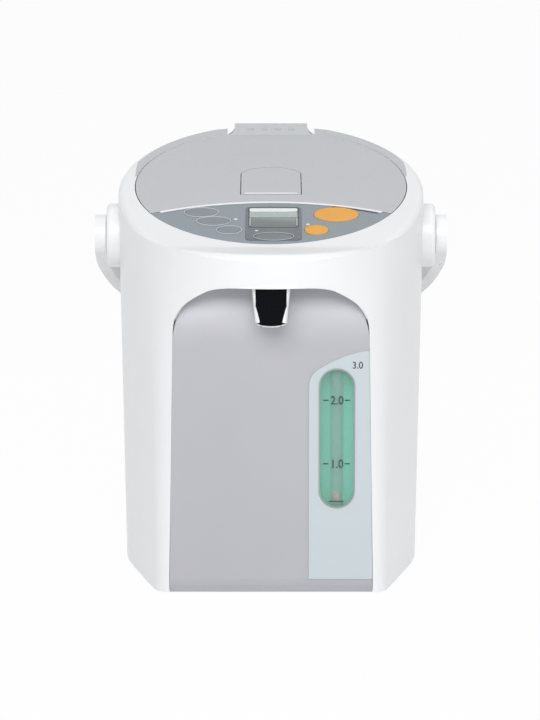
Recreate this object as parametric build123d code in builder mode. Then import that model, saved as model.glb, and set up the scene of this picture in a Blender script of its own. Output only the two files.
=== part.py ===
from build123d import *
import os
from math import acos, cos, degrees, radians, sin, sqrt, tan

os.makedirs("parts", exist_ok=True)

# Electric thermo pot, millimetres. The origin is on the table, +Z up, front towards -Y.
# Heights marked "at the axis" are measured where a tilted plane crosses the Z axis.

# ---- driving dimensions: casing ----
wall = 2.5
floor_gap = 1.5
foot_half_width = 103
foot_front = 118
foot_back = 127
foot_widest = 12
foot_corner_start = 64
foot_corner_radius = 16
foot_corner_turn = 74
foot_side_x = 91
foot_side_y = -60
head_half_width = 107
head_front = 150
head_back = 133
head_widest = 6
seam_height = 252.5
seam_tilt = 7.75

# front opening and its panel
arch_half_foot = 69.3
arch_half_spring = 66.3
arch_spring = 168
arch_top = 214.5
arch_liner = 2.2
panel_face = 116
panel_thickness = 2.5
panel_fold_low = 8.2
panel_fold_high = 183
panel_tuck = 3.5
panel_lean = 8
panel_gap = 0.3

# level gauge
gauge_x = 44.4
gauge_mid = 107.9
gauge_length = 95.5
gauge_width = 24
plate_left = 25.6
plate_foot = 10.9
plate_shoulder = 149
plate_proud = 0.9
tube_radius = 4.5
tube_bore = 3.4
tube_back = 8.5
float_radius = 3.0
float_rest = 66

# lid and control panel
lid_height = 264
lid_tilt = 14
lid_half_width = 95.7
lid_front = 106.5
lid_back = 119.9
lid_widest = 8
lid_gap = 0.6
lid_depth = 9
lid_wall = 2.2
split_radius = 163
split_front = 26.8
deck = 2.5
shelf_radius = 40
shoulder_radius = 4.5
head_foot = 222
panel_plate = 2.0
well_floor = 236
well_wall = 2.0

# hinge
hinge_y = 118
hinge_z = 288
hinge_pin_radius = 2.0
barrel_radius = 4.6
barrel_half = 26.5
tab_half_base = 30.8
tab_half_top = 26.7
tab_top = 298
tab_back = 125
notch_half = 31.6
notch_depth = 11.5
ear_width = 4

# container
container_y = 30
container_radius = 84
container_wall = 1.2
container_floor = 56
container_shoulder = 194
mouth_radius = 43
gasket_outer = 48
jacket_thickness = 8

# handle
pivot_y = 8
pivot_z = 230
boss_radius = 22.3
boss_face = 115.3
arm_face = 123.5
arm_inner = 115.8
handle_length = 165
handle_drop = 31
handle_width = 16
grip_depth = 14
pivot_pin_radius = 5.0

# running and seating clearances
running = 0.05
seat = 0.3

# ---- derived planes ----


def rising_plane(height, tilt, y=0.0, lift=0.0):
    """Plane that climbs to the back, crossing the Z axis at height; y and lift are measured on it."""
    lean = radians(tilt)
    up = (0, -sin(lean), cos(lean))
    along = (0, cos(lean), sin(lean))
    origin = (0, along[1] * y + up[1] * lift, height + along[2] * y + up[2] * lift)
    return Plane(origin=origin, x_dir=(1, 0, 0), z_dir=up)


def lid_plane(lift=0.0):
    """Plane of the lid's rim, moved along its own normal by lift."""
    return rising_plane(lid_height, lid_tilt, 0.0, lift)


# ---- plan outlines of the casing ----


def foot_outline(inset, height=floor_gap):
    """Plan at the foot: flat front, round corners, bowed sides and a round back."""
    turn = radians(foot_corner_turn)
    radius = foot_corner_radius - inset
    start = foot_corner_start
    front = -foot_front + inset
    end_x = start + radius * sin(turn)
    end_y = front + radius * (1 - cos(turn))
    side = foot_half_width - inset
    middle = (foot_side_x - inset, foot_side_y + inset * cos(turn))
    with BuildSketch(Plane.XY.offset(height)) as outline:
        with BuildLine():
            Line((-start, front), (start, front))
            TangentArc((start, front), (end_x, end_y), tangent=(1, 0))
            Spline((end_x, end_y), middle, (side, foot_widest), tangents=((cos(turn), sin(turn)), (0, 1)))
            EllipticalCenterArc((0, foot_widest), side, foot_back - inset - foot_widest, 0, arc_size=180)
            Spline((-side, foot_widest), (-middle[0], middle[1]), (-end_x, end_y),
                   tangents=((0, -1), (cos(turn), -sin(turn))))
            TangentArc((-start, front), (-end_x, end_y), tangent=(-1, 0))
        make_face()
    return outline.sketch


def seam_outline(inset):
    """Plan at the seam under the head: an egg, cut into the same six stretches as the foot."""
    stretch = 1 / cos(radians(seam_tilt))
    side = head_half_width - inset
    middle = (0, head_widest * stretch)
    front = (head_front + head_widest - inset) * stretch
    back = (head_back - head_widest - inset) * stretch
    corner = degrees(acos(foot_corner_start / side))
    flank = degrees(acos((foot_corner_start + foot_corner_radius) / side))
    with BuildSketch(rising_plane(seam_height, seam_tilt)) as outline:
        with BuildLine():
            EllipticalCenterArc(middle, side, front, 180 + corner, arc_size=180 - 2 * corner)
            EllipticalCenterArc(middle, side, front, 360 - corner, arc_size=corner - flank)
            EllipticalCenterArc(middle, side, front, 360 - flank, arc_size=flank)
            EllipticalCenterArc(middle, side, back, 0, arc_size=180)
            EllipticalCenterArc(middle, side, front, 180, arc_size=flank)
            EllipticalCenterArc(middle, side, front, 180 + flank, arc_size=corner - flank)
        make_face()
    return outline.sketch


def egg_outline(plane, half_width, front, back, widest):
    """Closed egg made of two half ellipses, sizes measured on the plane."""
    with BuildSketch(plane) as outline:
        with BuildLine():
            EllipticalCenterArc((0, widest), half_width, back - widest, 0, arc_size=180)
            EllipticalCenterArc((0, widest), half_width, front + widest, 180, arc_size=180)
        make_face()
    return outline.sketch


def head_plan(inset):
    """Level plan of the head, the seam's egg seen from above."""
    return egg_outline(Plane.XY.offset(head_foot), head_half_width - inset, head_front - inset,
                       head_back - inset, head_widest)


def head_profile(sink):
    """Side view of the head under its top: the lid's slope easing into a level shelf at the front."""
    slope = tan(radians(lid_tilt))
    lean = radians(lid_tilt)
    bend_y = -lid_front * cos(lean)
    bend_z = lid_height + slope * bend_y - sink
    shelf_y = bend_y - shelf_radius * sin(lean)
    shelf_z = bend_z - shelf_radius * (1 - cos(lean))
    back_y = head_back + 10
    front_y = -head_front - 10
    foot_z = shelf_z - 30
    with BuildSketch(Plane.YZ) as profile:
        with BuildLine():
            Line((back_y, foot_z), (back_y, lid_height + slope * back_y - sink))
            Line((back_y, lid_height + slope * back_y - sink), (bend_y, bend_z))
            TangentArc((bend_y, bend_z), (shelf_y, shelf_z), tangent=(-cos(lean), -sin(lean)))
            Line((shelf_y, shelf_z), (front_y, shelf_z))
            Line((front_y, shelf_z), (front_y, foot_z))
            Line((front_y, foot_z), (back_y, foot_z))
        make_face()
    return profile.sketch


# ---- outlines on the lid's plane ----


def lid_outline(gap, plane):
    """Lid plan: the egg cut off at the front by the control panel's arc."""
    with BuildSketch(plane) as outline:
        with BuildLine():
            EllipticalCenterArc((0, lid_widest), lid_half_width - gap, lid_back - lid_widest - gap,
                                0, arc_size=180)
            EllipticalCenterArc((0, lid_widest), lid_half_width - gap, lid_front + lid_widest - gap,
                                180, arc_size=180)
        make_face()
        with Locations((0, -split_front - split_radius)):
            Circle(split_radius + gap, mode=Mode.SUBTRACT)
    return outline.sketch


def panel_outline(gap, plane):
    """Control panel plan: the crescent of the egg in front of the lid."""
    with BuildSketch(plane) as outline:
        with BuildLine():
            EllipticalCenterArc((0, lid_widest), lid_half_width - gap, lid_back - lid_widest - gap,
                                0, arc_size=180)
            EllipticalCenterArc((0, lid_widest), lid_half_width - gap, lid_front + lid_widest - gap,
                                180, arc_size=180)
        make_face()
        with Locations((0, -split_front - split_radius)):
            Circle(split_radius - gap, mode=Mode.INTERSECT)
    return outline.sketch


# ---- front opening ----


def arch_outline(grow, back):
    """Front opening seen from the front: near-straight legs under a flat-topped arch."""
    with BuildSketch(Plane.XZ.offset(back)) as opening:
        with BuildLine():
            foot = (arch_half_foot + grow, -1)
            spring = (arch_half_spring + grow, arch_spring)
            shoulder = (arch_half_spring - 5.5 + grow, arch_top - 17.5 + grow)
            crown = (arch_half_spring - 26 + grow / 2, arch_top - 2.6 + grow)
            top = (0, arch_top + grow)
            Line((0, -1), foot)
            Line(foot, spring)
            Spline(spring, shoulder, crown, top, tangents=((-0.02, 1), (-1, 0)))
            Line(top, (0, -1))
        make_face()
        mirror(about=Plane.YZ)
    return opening.sketch


with BuildPart() as casing_block:
    loft([foot_outline(0), seam_outline(0)])

with BuildPart() as casing_core:
    loft([foot_outline(wall), seam_outline(wall)])

with BuildPart() as head_solid:
    extrude(head_plan(0), amount=100)
    extrude(head_profile(0), amount=head_half_width + 10, both=True, mode=Mode.INTERSECT)
    shoulder = [edge for edge in head_solid.edges()
                if edge.geom_type != GeomType.LINE and edge.center().Z > head_foot + 5]
    fillet(shoulder, shoulder_radius)

with BuildPart() as head_block:
    add(head_solid.part)
    split(bisect_by=rising_plane(seam_height, seam_tilt), keep=Keep.TOP)

with BuildPart() as deck_block:
    add(head_solid.part)
    extrude(head_plan(wall + seat), amount=100, mode=Mode.INTERSECT)

liner_back = panel_face - panel_lean - panel_thickness

with BuildPart() as arch_liner_block:
    extrude(arch_outline(arch_liner, liner_back), amount=head_front - liner_back + 10)
    add(casing_block.part, mode=Mode.INTERSECT)

# ---- casing ----

inlet_z = 34
inlet_width = 46
inlet_height = 26
inlet_depth = 16
nozzle_y = 135
nozzle_neck = 6.0
screw_spots = ((92.5, -28), (62.5, 94.5))
screw_radius = 1.6
screw_boss = 5.0
screw_boss_top = 28
base_floor = 6.0
base_plate = 2.4

with BuildPart() as boss_block:
    with Locations(*[(side * x, y, (base_floor + base_plate + screw_boss_top) / 2)
                     for x, y in screw_spots for side in (-1, 1)]):
        Cylinder(screw_boss, screw_boss_top - base_floor - base_plate)
    with Locations(*[(side * x, y, base_floor + 5) for x, y in screw_spots for side in (-1, 1)]):
        Cylinder(screw_radius + 0.02, 16, mode=Mode.SUBTRACT)
    add(casing_block.part, mode=Mode.INTERSECT)

with BuildPart() as body_shell:
    add(casing_block.part)
    add(casing_core.part, mode=Mode.SUBTRACT)
    add(arch_liner_block.part)
    add(boss_block.part)
    extrude(arch_outline(0, liner_back - 1), amount=head_front - liner_back + 20, mode=Mode.SUBTRACT)
    with Locations((0, -nozzle_y, arch_top)):
        Cylinder(nozzle_neck + seat, 12, mode=Mode.SUBTRACT)
    with Locations((0, foot_back, inlet_z)):
        Box(inlet_width + 2 * seat, 40, inlet_height + 2 * seat, mode=Mode.SUBTRACT)
    for x in (-boss_face, boss_face):
        with Locations(Location((x, pivot_y, pivot_z), (0, 90, 0))):
            Cylinder(pivot_pin_radius + 1, 60, mode=Mode.SUBTRACT)

body_shell.part.label = "body_shell"
export_step(body_shell.part, "parts/body_shell.step")

# ---- head ring ----

with BuildPart() as head_core:
    extrude(head_plan(wall), amount=100)
    extrude(head_profile(deck), amount=head_half_width + 10, both=True, mode=Mode.INTERSECT)

with BuildPart() as well_block:
    extrude(lid_outline(-well_wall, rising_plane(lid_height - well_wall, lid_tilt)), amount=100,
            dir=(0, 0, -1))
    split(bisect_by=Plane.XY.offset(well_floor - well_wall), keep=Keep.TOP)

with BuildPart() as well_space:
    extrude(lid_outline(0, rising_plane(lid_height + 20, lid_tilt)), amount=120, dir=(0, 0, -1))
    split(bisect_by=Plane.XY.offset(well_floor), keep=Keep.TOP)

latch_half = 7
latch_low = -7.2
latch_thick = 2.4
latch_reach = 3.4
board_lift = -9.0
board_thickness = 1.6
panel_skirt = 2.0
panel_seat = 2.9

with BuildPart() as hinge_seat:
    with Locations((0, (hinge_y + head_back) / 2 - 5, hinge_z - notch_depth + 4)):
        Box(2 * (notch_half + ear_width), head_back - hinge_y + 22, 2 * notch_depth + 8)
    add(head_block.part, mode=Mode.INTERSECT)

with BuildPart() as head_ring:
    add(head_block.part)
    add(deck_block.part)
    add(head_core.part, mode=Mode.SUBTRACT)
    add(well_block.part)
    add(hinge_seat.part)
    extrude(panel_outline(-well_wall, lid_plane(-panel_plate - deck)), amount=deck)
    extrude(panel_outline(panel_seat - panel_skirt, lid_plane(board_lift + board_thickness)),
            amount=-board_lift - board_thickness - panel_plate)
    add(well_space.part, mode=Mode.SUBTRACT)
    extrude(panel_outline(0, lid_plane(-panel_plate)), amount=12, mode=Mode.SUBTRACT)
    extrude(panel_outline(panel_seat, lid_plane(-12)), amount=12, mode=Mode.SUBTRACT)
    with Locations((0, container_y, well_floor)):
        Cylinder(mouth_radius, 20, mode=Mode.SUBTRACT)
    with Locations((0, hinge_y + 6, hinge_z + 20 - notch_depth)):
        Box(2 * notch_half, 40, 40, mode=Mode.SUBTRACT)
    with Locations(Location((0, hinge_y, hinge_z), (0, 90, 0))):
        Cylinder(hinge_pin_radius + 0.02, 2 * (notch_half + ear_width - 1), mode=Mode.SUBTRACT)
    with BuildSketch(lid_plane(latch_low - seat)):
        with Locations((0, -split_front)):
            Rectangle(2 * (latch_half + seat), 14)
    extrude(amount=latch_thick + 2 * seat, mode=Mode.SUBTRACT)

head_ring.part.label = "head_ring"
export_step(head_ring.part, "parts/head_ring.step")

# ---- front panel and level gauge ----

with BuildPart() as front_panel:
    with BuildSketch(Plane.YZ):
        with BuildLine():
            flange_back = -liner_back + 1.5
            flange_top = base_floor - seat
            flange_low = flange_top - panel_thickness
            face_low = (-panel_face + panel_tuck, flange_low)
            fold_low = (-panel_face, panel_fold_low)
            fold_high = (-panel_face, panel_fold_high)
            face_high = (-panel_face + panel_lean, arch_top + 5)
            back_high = (-panel_face + panel_lean + panel_thickness, arch_top + 5)
            back_fold = (-panel_face + panel_thickness, panel_fold_high)
            back_fold_low = (-panel_face + panel_thickness, panel_fold_low)
            back_low = (-panel_face + panel_tuck + panel_thickness, flange_top)
            Polyline(face_low, fold_low, fold_high, face_high, back_high, back_fold, back_fold_low,
                     back_low, (flange_back, flange_top), (flange_back, flange_low), close=True)
        make_face()
    extrude(amount=arch_half_foot + 10, both=True)
    extrude(arch_outline(-panel_gap, 0), amount=head_front + 10, mode=Mode.INTERSECT)
    with BuildSketch(Plane.XZ.offset(panel_face - 10)):
        with Locations((gauge_x, gauge_mid)):
            SlotOverall(gauge_length + 2 * seat, gauge_width + 2 * seat, rotation=90)
    extrude(amount=20, mode=Mode.SUBTRACT)

front_panel.part.label = "front_panel"
export_step(front_panel.part, "parts/front_panel.step")

with BuildPart() as gauge_plate:
    with BuildSketch(Plane.XZ.offset(panel_face)):
        with BuildLine():
            Line((plate_left, plate_foot), (plate_left + 50, plate_foot))
            Line((plate_left + 50, plate_foot), (plate_left + 50, plate_shoulder + 20))
            Line((plate_left + 50, plate_shoulder + 20), (arch_half_spring, plate_shoulder + 19))
            Spline((arch_half_spring, plate_shoulder + 19), (plate_left + 10, plate_shoulder + 8.4),
                   (plate_left, plate_shoulder - 6), tangents=((-1, -0.12), (0, -1)))
            Line((plate_left, plate_shoulder - 6), (plate_left, plate_foot))
        make_face()
        with Locations((gauge_x, gauge_mid)):
            SlotOverall(gauge_length + 2 * seat, gauge_width + 2 * seat, rotation=90, mode=Mode.SUBTRACT)
    extrude(amount=plate_proud)
    extrude(arch_outline(-panel_gap, 0), amount=head_front + 10, mode=Mode.INTERSECT)

gauge_plate.part.label = "gauge_plate"
export_step(gauge_plate.part, "parts/gauge_plate.step")

window_thickness = plate_proud + panel_thickness - 0.6

with BuildPart() as gauge_window:
    with BuildSketch(Plane.XZ.offset(panel_face + plate_proud + 0.3)):
        with Locations((gauge_x, gauge_mid)):
            SlotOverall(gauge_length, gauge_width, rotation=90)
    extrude(amount=-window_thickness)
    with Locations((gauge_x, -panel_face - plate_proud - 0.3, gauge_mid)):
        fillet(gauge_window.edges().filter_by(GeomType.CIRCLE).group_by(Axis.Y)[0], 0.8)

gauge_window.part.label = "gauge_window"
export_step(gauge_window.part, "parts/gauge_window.step")

housing_wall = 1.5
housing_depth = 14
tube_y = panel_face - tube_back
tube_low = gauge_mid - gauge_length / 2 - 12
tube_high = gauge_mid + gauge_length / 2 + 12

with BuildPart() as gauge_housing:
    with BuildSketch(Plane.XZ.offset(panel_face - panel_thickness)):
        with Locations((gauge_x, gauge_mid)):
            SlotOverall(gauge_length + 2 * housing_wall, gauge_width + 2 * housing_wall, rotation=90)
    extrude(amount=-housing_depth)
    with BuildSketch(Plane.XZ.offset(panel_face - panel_thickness)):
        with Locations((gauge_x, gauge_mid)):
            SlotOverall(gauge_length, gauge_width, rotation=90)
    extrude(amount=-housing_depth + housing_wall, mode=Mode.SUBTRACT)
    with Locations((gauge_x, -tube_y, gauge_mid)):
        Cylinder(tube_radius + seat, gauge_length + 40, mode=Mode.SUBTRACT)

gauge_housing.part.label = "gauge_housing"
export_step(gauge_housing.part, "parts/gauge_housing.step")

with BuildPart() as sight_tube:
    with Locations((gauge_x, -tube_y, (tube_low + tube_high) / 2)):
        Cylinder(tube_radius, tube_high - tube_low)
        Cylinder(tube_bore, tube_high - tube_low, mode=Mode.SUBTRACT)

sight_tube.part.label = "sight_tube"
export_step(sight_tube.part, "parts/sight_tube.step")

with BuildPart() as float_ball:
    with Locations((gauge_x, -tube_y, float_rest)):
        Sphere(float_radius)

float_ball.part.label = "float_ball"
export_step(float_ball.part, "parts/float_ball.step")

# ---- spout ----

nozzle_front = 143
nozzle_half_top = 10.3
nozzle_half_foot = 7.3
nozzle_foot = 190
nozzle_depth = 16
nozzle_bore = 3.2
stub_radius = 4.5
stub_z = 222.5
cheek = 1.4


def spout_section(half_width, depth, height, corner):
    """Rounded rectangle of the spout at a height, its front kept on the spout's face."""
    with BuildSketch(Plane.XY.offset(height)) as section:
        with Locations((0, -nozzle_front + depth / 2)):
            RectangleRounded(2 * half_width, depth, corner)
    return section.sketch


with BuildPart() as nozzle:
    loft([spout_section(nozzle_half_foot, nozzle_depth - 4, nozzle_foot, 2),
          spout_section(nozzle_half_top, nozzle_depth, arch_top - seat, 2)])
    with Locations((0, -nozzle_y, (arch_top + stub_z) / 2)):
        Cylinder(nozzle_neck, stub_z - arch_top + 2 * nozzle_neck - 2)
    with Locations(Location((0, -nozzle_y + 10, stub_z), (90, 0, 0))):
        Cylinder(stub_radius, 20)
        Cylinder(nozzle_bore, 20, mode=Mode.SUBTRACT)
    with Locations((0, -nozzle_y, (nozzle_foot + stub_z) / 2)):
        Cylinder(nozzle_bore, stub_z - nozzle_foot, mode=Mode.SUBTRACT)

nozzle.part.label = "nozzle"
export_step(nozzle.part, "parts/nozzle.step")

with BuildPart() as nozzle_cover:
    loft([spout_section(nozzle_half_foot + cheek, nozzle_depth - 2, nozzle_foot - 2.4, 3),
          spout_section(nozzle_half_top + cheek, nozzle_depth + 2, arch_top - seat, 3)])
    loft([spout_section(nozzle_half_foot + 0.1, nozzle_depth + 8, nozzle_foot - 0.1, 2),
          spout_section(nozzle_half_top + 0.1, nozzle_depth + 8, arch_top, 2)], mode=Mode.SUBTRACT)
    with Locations((0, -nozzle_y, nozzle_foot)):
        Cylinder(nozzle_bore + 1, 10, mode=Mode.SUBTRACT)

nozzle_cover.part.label = "nozzle_cover"
export_step(nozzle_cover.part, "parts/nozzle_cover.step")

# ---- control panel ----

display_x = 1.7
display_mid = -68.1
display_width = 38
display_length = 63.2
window_mid = -57.4
window_width = 34.3
window_length = 38.1
button_gap = 0.3
button_proud = 0.6
button_flange = 0.6
button_travel = 0.8
light_radius = 1.3
light_spots = ((-9.8, -81.7), (-24.1, -59.9), (25.2, -69.7))
buttons = {
    "dispense_button": (44.9, -51.3, 30.8, 26.4),
    "unlock_button": (31.0, -80.6, 16.3, 17.6),
    "upper_button": (-47.9, -47.3, 22.0, 16.2),
    "middle_button": (-39.3, -63.9, 21.8, 15.0),
    "lower_button": (-28.5, -80.6, 15.5, 14.0),
    "select_button": (1.7, -93.3, 25.7, 12.9),
}

with BuildPart() as control_panel:
    extrude(panel_outline(seat, lid_plane(-panel_plate)), amount=panel_plate)
    with BuildSketch(lid_plane(-panel_plate)):
        for x, y, width, length in list(buttons.values())[:5]:
            with Locations((x, y)):
                Ellipse(width / 2 + button_gap, length / 2 + button_gap)
        with Locations((display_x, display_mid)):
            RectangleRounded(display_width + 2 * 0.1, display_length + 2 * 0.1, 4)
        with Locations(*light_spots[1:]):
            Circle(light_radius + 0.1)
    extrude(amount=panel_plate + 5, mode=Mode.SUBTRACT)

control_panel.part.label = "control_panel"
export_step(control_panel.part, "parts/control_panel.step")

with BuildPart() as display_frame:
    with BuildSketch(lid_plane(-panel_plate)):
        with Locations((display_x, display_mid)):
            RectangleRounded(display_width, display_length, 4)
        with Locations((display_x, window_mid)):
            RectangleRounded(window_width + 0.2, window_length + 0.2, 2, mode=Mode.SUBTRACT)
        x, y, width, length = buttons["select_button"]
        with Locations((x, y)):
            Ellipse(width / 2 + button_gap, length / 2 + button_gap, mode=Mode.SUBTRACT)
        with Locations(light_spots[0]):
            Circle(light_radius + 0.1, mode=Mode.SUBTRACT)
    extrude(amount=panel_plate + 0.3)

display_frame.part.label = "display_frame"
export_step(display_frame.part, "parts/display_frame.step")

with BuildPart() as display_window:
    with BuildSketch(lid_plane(-panel_plate)):
        with Locations((display_x, window_mid)):
            RectangleRounded(window_width, window_length, 2)
    extrude(amount=panel_plate)

display_window.part.label = "display_window"
export_step(display_window.part, "parts/display_window.step")

with BuildPart() as display_cell:
    with BuildSketch(lid_plane(-panel_plate - 3)):
        with Locations((display_x, window_mid)):
            Rectangle(window_width + 1, window_length + 1)
    extrude(amount=3)

display_cell.part.label = "display_cell"
export_step(display_cell.part, "parts/display_cell.step")

with BuildPart() as indicator_lights:
    with BuildSketch(lid_plane(-panel_plate)):
        with Locations(*light_spots):
            Circle(light_radius)
    extrude(amount=panel_plate + 0.1)
    with BuildSketch(lid_plane(board_lift + board_thickness)):
        with Locations(*light_spots):
            Circle(light_radius - 0.2)
    extrude(amount=-board_lift - board_thickness - panel_plate)

indicator_lights.part.label = "indicator_lights"
export_step(indicator_lights.part, "parts/indicator_lights.step")

def button_section(name, shrink, lift):
    """Ellipse of a button at a height above the control panel."""
    x, y, width, length = buttons[name]
    with BuildSketch(lid_plane(lift)) as section:
        with Locations((x, y)):
            Ellipse(width / 2 - shrink, length / 2 - shrink)
    return section.sketch


for name, (x, y, width, length) in buttons.items():
    with BuildPart() as button:
        extrude(button_section(name, 0, -panel_plate - 0.2), amount=panel_plate + 0.2 + button_proud / 3)
        loft([button_section(name, 0, button_proud / 3), button_section(name, 0.7, button_proud)])
        with BuildSketch(lid_plane(-panel_plate - 1.2)):
            with Locations((x, y)):
                Ellipse(width / 2 + button_flange, length / 2 + button_flange)
        extrude(amount=1.0)
        with BuildSketch(lid_plane(board_lift + board_thickness + button_travel + 0.2)):
            with Locations((x, y)):
                Circle(2.5)
        extrude(amount=-board_lift - board_thickness - button_travel - panel_plate - 0.7)
    button.part.label = name
    export_step(button.part, f"parts/{name}.step")

with BuildPart() as control_board:
    extrude(panel_outline(panel_seat - panel_skirt + seat, lid_plane(board_lift)), amount=board_thickness)
    extrude(lid_outline(-well_wall - seat, rising_plane(lid_height, lid_tilt)), amount=100,
            dir=(0, 0, -1), mode=Mode.SUBTRACT)

control_board.part.label = "control_board"
export_step(control_board.part, "parts/control_board.step")

# ---- lid ----

lid_draft = 3.0
lever_half = 20.9
lever_front = -11.7
lever_shoulder = 31.1
lever_back = 42.8
lever_plate = 2.4
lever_pivot = 27.0
lever_pin_lift = -4.4
lever_pin_radius = 1.2
lug_half = 2.4
lug_width = 3
ear_reach = 4


def lever_outline(grow, plane):
    """Lever plan: straight front and sides, bowed back edge."""
    half = lever_half + grow
    with BuildSketch(plane) as outline:
        with BuildLine():
            Polyline((-half, lever_shoulder), (-half, lever_front - grow), (half, lever_front - grow),
                     (half, lever_shoulder))
            ThreePointArc((half, lever_shoulder), (0, lever_back + grow), (-half, lever_shoulder))
        make_face()
    return outline.sketch


with BuildPart() as lid_cover:
    loft([lid_outline(lid_gap + lid_draft, lid_plane(-lid_depth)), lid_outline(lid_gap, lid_plane())])
    loft([lid_outline(lid_gap + lid_draft + lid_wall, lid_plane(-lid_depth)),
          lid_outline(lid_gap + lid_wall, lid_plane(-lid_wall))], mode=Mode.SUBTRACT)
    with BuildSketch(lid_plane(-lid_depth + 2)):
        with Locations((-lever_half - ear_reach / 2, lever_pivot), (lever_half + ear_reach / 2, lever_pivot)):
            Rectangle(ear_reach, 9)
    extrude(amount=lid_depth - 2 - lid_wall / 2)
    extrude(lever_outline(0.6, lid_plane(-lid_wall - 1)), amount=10, mode=Mode.SUBTRACT)
    lever_axis = rising_plane(lid_height, lid_tilt, lever_pivot, lever_pin_lift).origin
    with Locations(Location(lever_axis, (0, 90, 0))):
        Cylinder(lever_pin_radius + 0.02, 2 * (lever_half + ear_reach - 1), mode=Mode.SUBTRACT)
    with BuildSketch(lid_plane(latch_low - seat)):
        with Locations((0, -split_front)):
            Rectangle(2 * (latch_half + seat), 14)
    extrude(amount=latch_thick + 2 * seat, mode=Mode.SUBTRACT)
    with Locations(Location((0, hinge_y, hinge_z), (0, 90, 0))):
        Cylinder(barrel_radius, 2 * barrel_half)
    with Locations((0, hinge_y - 5, hinge_z)):
        Box(2 * barrel_half, 12, 4)
    with Locations(Location((0, hinge_y, hinge_z), (0, 90, 0))):
        Cylinder(hinge_pin_radius + running, 2 * barrel_half + 10, mode=Mode.SUBTRACT)

lid_cover.part.label = "lid_cover"
export_step(lid_cover.part, "parts/lid_cover.step")

plug_wall = 1.8
plug_foot = well_floor + 2.8

with BuildPart() as lid_inner:
    with BuildSketch(Plane.XY.offset(plug_foot)):
        with Locations((0, container_y)):
            Circle(gasket_outer - 0.5)
    extrude(amount=60)
    with BuildSketch(Plane.XY.offset(plug_foot + plug_wall)):
        with Locations((0, container_y)):
            Circle(gasket_outer - 0.5 - plug_wall)
    extrude(amount=60, mode=Mode.SUBTRACT)
    split(bisect_by=lid_plane(-lid_depth + 0.2), keep=Keep.BOTTOM)
    extrude(lid_outline(lid_gap + lid_draft + lid_wall + 0.2, lid_plane(-lid_depth)), amount=1.5)
    with Locations((0, container_y, plug_foot)):
        Cylinder(6.2, 8, mode=Mode.SUBTRACT)

lid_inner.part.label = "lid_inner"
export_step(lid_inner.part, "parts/lid_inner.step")

with BuildPart() as steam_valve:
    with BuildSketch(Plane.XY.offset(plug_foot - 2)):
        with Locations((0, container_y)):
            Circle(6)
            with PolarLocations(3.4, 5):
                Circle(0.9, mode=Mode.SUBTRACT)
    extrude(amount=8)
    with Locations((0, container_y, plug_foot + plug_wall + 0.6)):
        Cylinder(8, 1)

steam_valve.part.label = "steam_valve"
export_step(steam_valve.part, "parts/steam_valve.step")

with BuildPart() as lid_gasket:
    with Locations((0, container_y, (well_floor + seat + plug_foot) / 2)):
        Cylinder(gasket_outer, plug_foot - well_floor - seat)
        Cylinder(mouth_radius + 1, plug_foot - well_floor - seat, mode=Mode.SUBTRACT)

lid_gasket.part.label = "lid_gasket"
export_step(lid_gasket.part, "parts/lid_gasket.step")

with BuildPart() as lid_lever:
    extrude(lever_outline(0, lid_plane(-lever_plate)), amount=lever_plate)
    with BuildSketch(lid_plane(lever_pin_lift - lug_half)):
        with Locations((-lever_half + lug_width / 2 + 0.3, lever_pivot),
                       (lever_half - lug_width / 2 - 0.3, lever_pivot)):
            Rectangle(lug_width, 2 * lug_half)
    extrude(amount=-lever_pin_lift + lug_half - lever_plate / 2)
    with Locations(Location(lever_axis, (0, 90, 0))):
        Cylinder(lever_pin_radius + running, 60, mode=Mode.SUBTRACT)

lid_lever.part.label = "lid_lever"
export_step(lid_lever.part, "parts/lid_lever.step")

with BuildPart() as lever_pin:
    with Locations(Location(lever_axis, (0, 90, 0))):
        Cylinder(lever_pin_radius, 2 * (lever_half + ear_reach - 1))

lever_pin.part.label = "lever_pin"
export_step(lever_pin.part, "parts/lever_pin.step")

with BuildPart() as lid_latch:
    with BuildSketch(lid_plane(latch_low)):
        with Locations((0, -split_front / 2 - latch_reach / 2 + 2)):
            Rectangle(2 * latch_half, split_front + latch_reach + 4)
    extrude(amount=latch_thick)

lid_latch.part.label = "lid_latch"
export_step(lid_latch.part, "parts/lid_latch.step")

with BuildPart() as hinge_pin:
    with Locations(Location((0, hinge_y, hinge_z), (0, 90, 0))):
        Cylinder(hinge_pin_radius, 2 * (notch_half + ear_width - 1))

hinge_pin.part.label = "hinge_pin"
export_step(hinge_pin.part, "parts/hinge_pin.step")

with BuildPart() as vent_cover:
    with BuildSketch(Plane.YZ):
        with BuildLine():
            Polyline((tab_back, hinge_z - 4), (tab_back, tab_top - 1.5), (tab_back - 1.5, tab_top),
                     (tab_back - 7, tab_top), (tab_back - 20, hinge_z + 1), (tab_back - 9, hinge_z - 4),
                     close=True)
        make_face()
    extrude(amount=tab_half_base, both=True)
    with Locations(Location((0, hinge_y, hinge_z), (0, 90, 0))):
        Cylinder(barrel_radius + seat, 2 * tab_half_base + 2, mode=Mode.SUBTRACT)
    split(bisect_by=lid_plane(0.02), keep=Keep.TOP)
    with Locations((0, tab_back - 1, hinge_z + 2.5)):
        Box(2 * tab_half_base, 2, 13)
    with BuildSketch(Plane.XZ.offset(-tab_back - 5)):
        with BuildLine():
            Line((0, hinge_z - 6), (tab_half_base, hinge_z - 6))
            Line((tab_half_base, hinge_z - 6), (tab_half_base, hinge_z + 2.5))
            ThreePointArc((tab_half_base, hinge_z + 2.5), (tab_half_top + 1.2, hinge_z + 4.6),
                          (tab_half_top, tab_top))
            Line((tab_half_top, tab_top), (0, tab_top))
            Line((0, tab_top), (0, hinge_z - 6))
        make_face()
        mirror(about=Plane.YZ)
    extrude(amount=40, mode=Mode.INTERSECT)
    with Locations(*[(-15 + 10 * slot, tab_back - 12, tab_top) for slot in range(4)]):
        Box(4.5, 2.2, 8, mode=Mode.SUBTRACT)

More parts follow.
